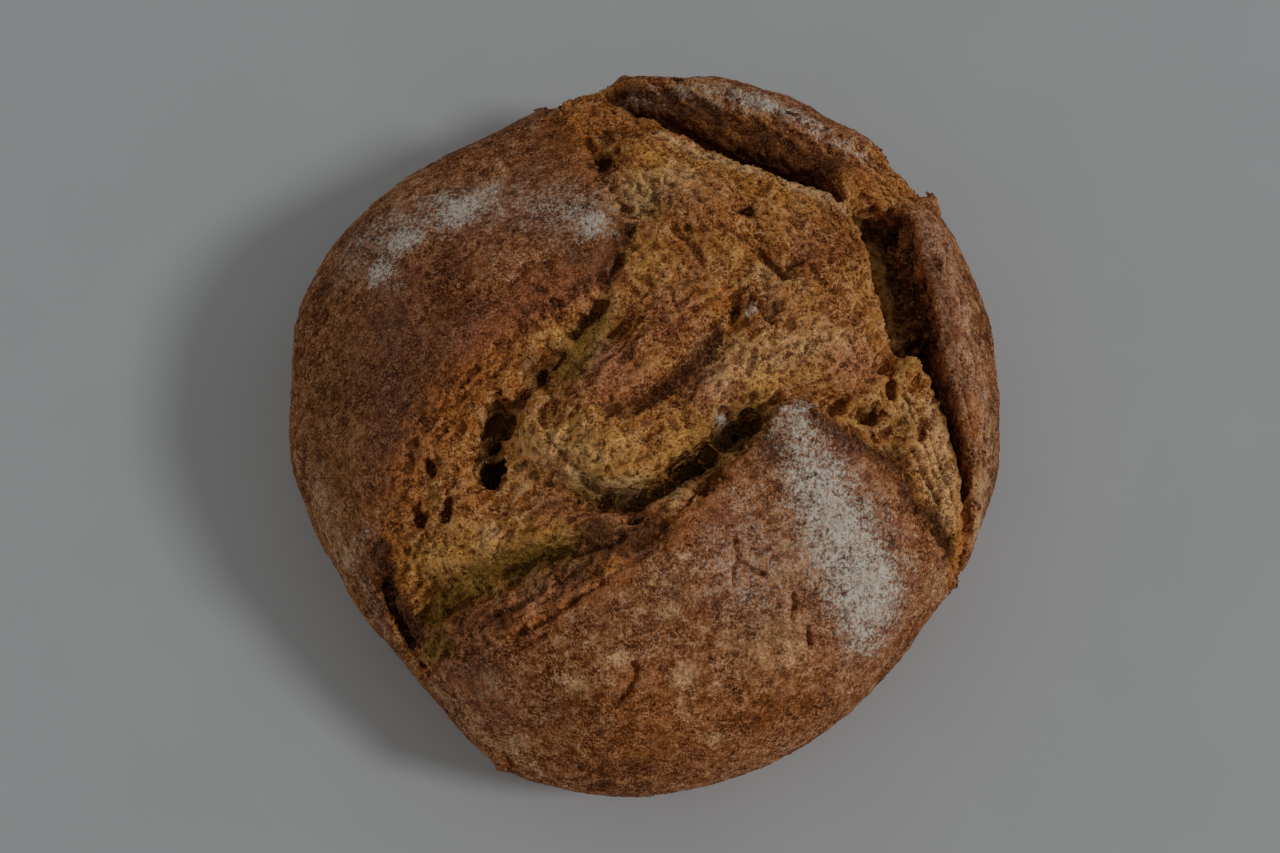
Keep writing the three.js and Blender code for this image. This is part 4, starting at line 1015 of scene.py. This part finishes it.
# one mesh from many copies of a few models, each copy with its own place, turn and size
def manyCopies(name, models, places, frames, sizes, seed):
    rng = np.random.default_rng(seed)
    shapes = [(pointsOf(m), facesOf(m)) for m in models]
    which = rng.integers(0, len(models), len(places))
    points, faces, tones, start = [], [], [], 0
    for place, axes, size, k in zip(places, frames, sizes, which):
        co, tris = shapes[k]
        points.append(place + (co * size) @ axes)
        faces.append(tris + start)
        tones.append(np.full(len(co), rng.uniform(0, 0.7)))
        start += len(co)
    mesh = bpy.data.meshes.new(name)
    mesh.from_pydata(np.vstack(points).tolist(), [], np.vstack(faces).tolist())
    mesh.update()
    piece = bpy.data.objects.new(name, mesh)
    bpy.context.scene.collection.objects.link(piece)
    setAttribute(piece, "bakeAndShade", np.concatenate(tones))
    for model in models:
        bpy.data.objects.remove(model)
    editAll(piece, bpy.ops.mesh.normals_make_consistent, inside=False)
    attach(piece, "root")
    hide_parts("loaf")
    print(name, "faces:", len(mesh.polygons))
    return piece


# axes of a piece that stands on the skin: z is the normal, x a given direction laid into the skin
def framesOn(normals, ahead):
    x = ahead - (ahead * normals).sum(1, keepdims=True) * normals
    x /= np.linalg.norm(x, axis=1, keepdims=True) + 1e-12
    return np.stack([x, np.cross(normals, x), normals], 1)


# random places over the skin's faces, more where the weight of their corners is high
def pickPlaces(weights, count, rng):
    faces = skin["faces"]
    corners = skin["co"][faces]
    area = np.linalg.norm(np.cross(corners[:, 1] - corners[:, 0], corners[:, 2] - corners[:, 0]), axis=1)
    chance = area * weights[faces].mean(1)
    chosen = faces[rng.choice(len(faces), count, p=chance / chance.sum())]
    share = rng.dirichlet((1, 1, 1), count)[:, :, None]
    normals = (skin["normal"][chosen] * share).sum(1)
    return (skin["co"][chosen] * share).sum(1), normals / np.linalg.norm(normals, axis=1, keepdims=True)


def scatterGrains(name, weights):
    setup = scatterSet[name]
    rng = np.random.default_rng(setup["seed"])
    places, normals = pickPlaces(weights, setup["count"], rng)
    frames = framesOn(normals, rng.normal(size=places.shape))
    low, high = setup["sizes"]
    sizes = (low + (high - low) * rng.uniform(size=len(places)) ** 2.2) * mm
    shapes = rng.uniform(0.75, 1.25, places.shape) * (1, 1, setup["flat"]) * sizes[:, None]
    places = places + normals * (shapes[:, 2:] * (0.5 - setup["sink"]))
    models = [grainModel(setup["seed"] * 10 + k) for k in range(5)]
    return manyCopies(name, models, places, frames, shapes, setup["seed"])


# ragged flakes along the torn edge, their roots in the crust and their free ends over the crumb
def edgeFlakes(name):
    setup = scatterSet[name]
    rng = np.random.default_rng(setup["seed"])
    near = np.exp(-((skin["inTear"] + 0.6) / 1.2) ** 2) * (skin["walked"] < scatterSet["reach"])
    near *= 0.25 + (np.sin(skin["u"] / 5.3 + 1.3) * np.cos(skin["v"] / 4.1) > 0.1)
    chosen = rng.choice(len(near), setup["count"], replace=False, p=near / near.sum())
    # the way into the tear is where the distance grows: taken from the skin a step away
    tree = KDTree(len(skin["u"]))
    for k, (a, b) in enumerate(zip(skin["u"], skin["v"])):
        tree.insert((a, b, 0), k)
    tree.balance()
    ahead = np.zeros((len(chosen), 3))
    turns = np.linspace(0, 2 * math.pi, 12, endpoint=False)
    for k, point in enumerate(chosen):
        a, b = skin["u"][point], skin["v"][point]
        others = [tree.find((a + 2.5 * math.cos(t), b + 2.5 * math.sin(t), 0))[1] for t in turns]
        best = max(others, key=lambda other: skin["inTear"][other])
        ahead[k] = skin["co"][best] - skin["co"][point]
    ahead[:, 2] *= 0.4
    ahead += rng.normal(size=ahead.shape) * 0.5 * mm
    up = skin["normal"][chosen] + (0, 0, 0.5)
    up /= np.linalg.norm(up, axis=1, keepdims=True)
    frames = framesOn(up, ahead)
    low, high = setup["sizes"]
    sizes = (low + (high - low) * rng.uniform(size=len(chosen)) ** 2) * mm
    ranges = ((0.5, 1.0), (0.6, 1.6), (0.6, 1.4))  # length, width and thickness against the flake's size
    shapes = sizes[:, None] * np.stack([rng.uniform(least, most, len(chosen)) for least, most in ranges], 1)
    places = skin["co"][chosen] - frames[:, 0] * shapes[:, :1] * 0.45 - up * 0.25 * mm
    models = [flakeModel(setup["seed"] * 10 + k) for k in range(7)]
    return manyCopies(name, models, places, frames, shapes, setup["seed"])


def flourMaterial():
    material = bpy.data.materials.new("flourGrain")
    material.use_nodes = True
    tree = material.node_tree
    shader = tree.nodes["Principled BSDF"]
    where = node(tree, "ShaderNodeTexCoord").outputs["Object"]
    shade = between(tree, noise(tree, where, 0.8, 2), 0.3, 0.7)
    colour = blendColours(tree, shade, (0.80, 0.62, 0.48, 1), (1.0, 0.93, 0.83, 1))
    tree.links.new(colour, shader.inputs["Base Color"])
    shader.inputs["Roughness"].default_value = 0.9
    shader.inputs["Specular IOR Level"].default_value = 0.25
    height = noise(tree, where, 0.4, 2)
    bump = node(tree, "ShaderNodeBump", {"Height": height, "Strength": 0.6, "Distance": 0.2 * mm})
    tree.links.new(bump.outputs[0], shader.inputs["Normal"])
    return material


loaf.data.materials.clear()
ryeCrust = loafMaterial()
loaf.data.materials.append(ryeCrust)
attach(loaf, "root")
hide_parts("loaf")
print("loaf is finished")

seen = 0.05 + np.clip(skin["normal"][:, 2], 0, 1)
floury = np.clip(skin["flourAndGapLight"] - scatterSet["flourFrom"], 0, 1) ** 1.5
flourGrains = scatterGrains("flourGrains", floury * (skin["inTear"] < 0))
flourGrains.data.materials.append(flourMaterial())
loose = smoothStep((skin["inTear"] + 1) / 3) * (skin["walked"] < scatterSet["reach"])
loose *= skin["depth"] < scatterSet["crumbDepth"]
# the floors and walls of the long gaps at the back and on the right stay clear
longGaps = np.array([
    (-6, 108), (10, 98), (30, 84), (50, 70), (60, 64), (68, 54), (73, 40), (77, 20), (86, 11), (98, -10),
    (107, -34)])
away = awayFromLine(longGaps, skin["u"], skin["v"]) / scatterSet["clearWidth"]
swept = 1 - 0.9 * np.exp(-(away**2))
crumbGrains = scatterGrains("crumbGrains", loose * seen * swept)
crustFlakes = edgeFlakes("crustFlakes")
# crumbs and flakes wear the loaf's own finish with its painted light and shade, as torn crumb and as crust
for piece, torn in ((crumbGrains, 1), (crustFlakes, 0)):
    u, v, walked, depth = placesOnSkin(pointsOf(piece))
    count = len(u)
    setAttribute(piece, "tornBy", np.full(count, torn))
    setAttribute(piece, "deep", np.clip(depth / maskSet["deepSpan"], 0, 1))
    own = np.empty(count, np.float32)
    piece.data.attributes["bakeAndShade"].data.foreach_get("value", own)
    for name in ("tanAndLight", "bakeAndShade", "oliveAndShade", "rosy", "orange", "gold"):
        share = soften(finishSet[name], u, v) + (own if name == "bakeAndShade" else 0)
        setAttribute(piece, name, np.clip(share, 0, 1))
    for name in ("cavity", "hollow"):
        setAttribute(piece, name, np.full(count, 0.45))
    piece.data.materials.append(ryeCrust)
print("grains and flakes are on")

studioSet = {
    "key": {"azimuth": -12, "elevation": 42, "distance": 12.0, "size": 2.4, "power": 318},
    "keyColour": (0.98, 0.99, 1.0),
    "ambient": (0.197, 0.199, 0.194),
    "floor": (0.69, 0.71, 0.73, 1),
    "floorSize": 6,
}

deselectAll()
bpy.ops.mesh.primitive_plane_add(size=studioSet["floorSize"], location=(0, 0, 0))
floor = bpy.context.object
floor.name = "paleFloor"
floorMaterial = bpy.data.materials.new("paleFloor")
floorMaterial.use_nodes = True
tree = floorMaterial.node_tree
where = node(tree, "ShaderNodeTexCoord").outputs["Object"]
pale = studioSet["floor"]
dull = tuple(c * 0.97 for c in pale[:3]) + (1,)
shade = blendColours(tree, between(tree, noise(tree, where, 60, 3), 0.3, 0.7), pale, dull)
tree.links.new(shade, tree.nodes["Principled BSDF"].inputs["Base Color"])
tree.nodes["Principled BSDF"].inputs["Roughness"].default_value = 0.6
floor.data.materials.append(floorMaterial)

key = studioSet["key"]
azimuth, elevation = math.radians(key["azimuth"]), math.radians(key["elevation"])
flat = math.cos(elevation)
towards = Vector((math.cos(azimuth) * flat, math.sin(azimuth) * flat, math.sin(elevation)))
bpy.ops.object.light_add(type="AREA", location=towards * key["distance"])
lamp = bpy.context.object
lamp.name = "softKey"
lamp.rotation_euler = towards.to_track_quat("Z", "Y").to_euler()
lamp.data.shape = "DISK"
lamp.data.size = key["size"]
lamp.data.energy = key["power"]
lamp.data.color = studioSet["keyColour"]

world = bpy.data.worlds.new("studioWorld")
bpy.context.scene.world = world
world.use_nodes = True
world.node_tree.nodes["Background"].inputs["Color"].default_value = studioSet["ambient"] + (1,)
world.node_tree.nodes["Background"].inputs["Strength"].default_value = 1
bpy.context.scene.view_settings.view_transform = "Standard"
print("studio is lit")
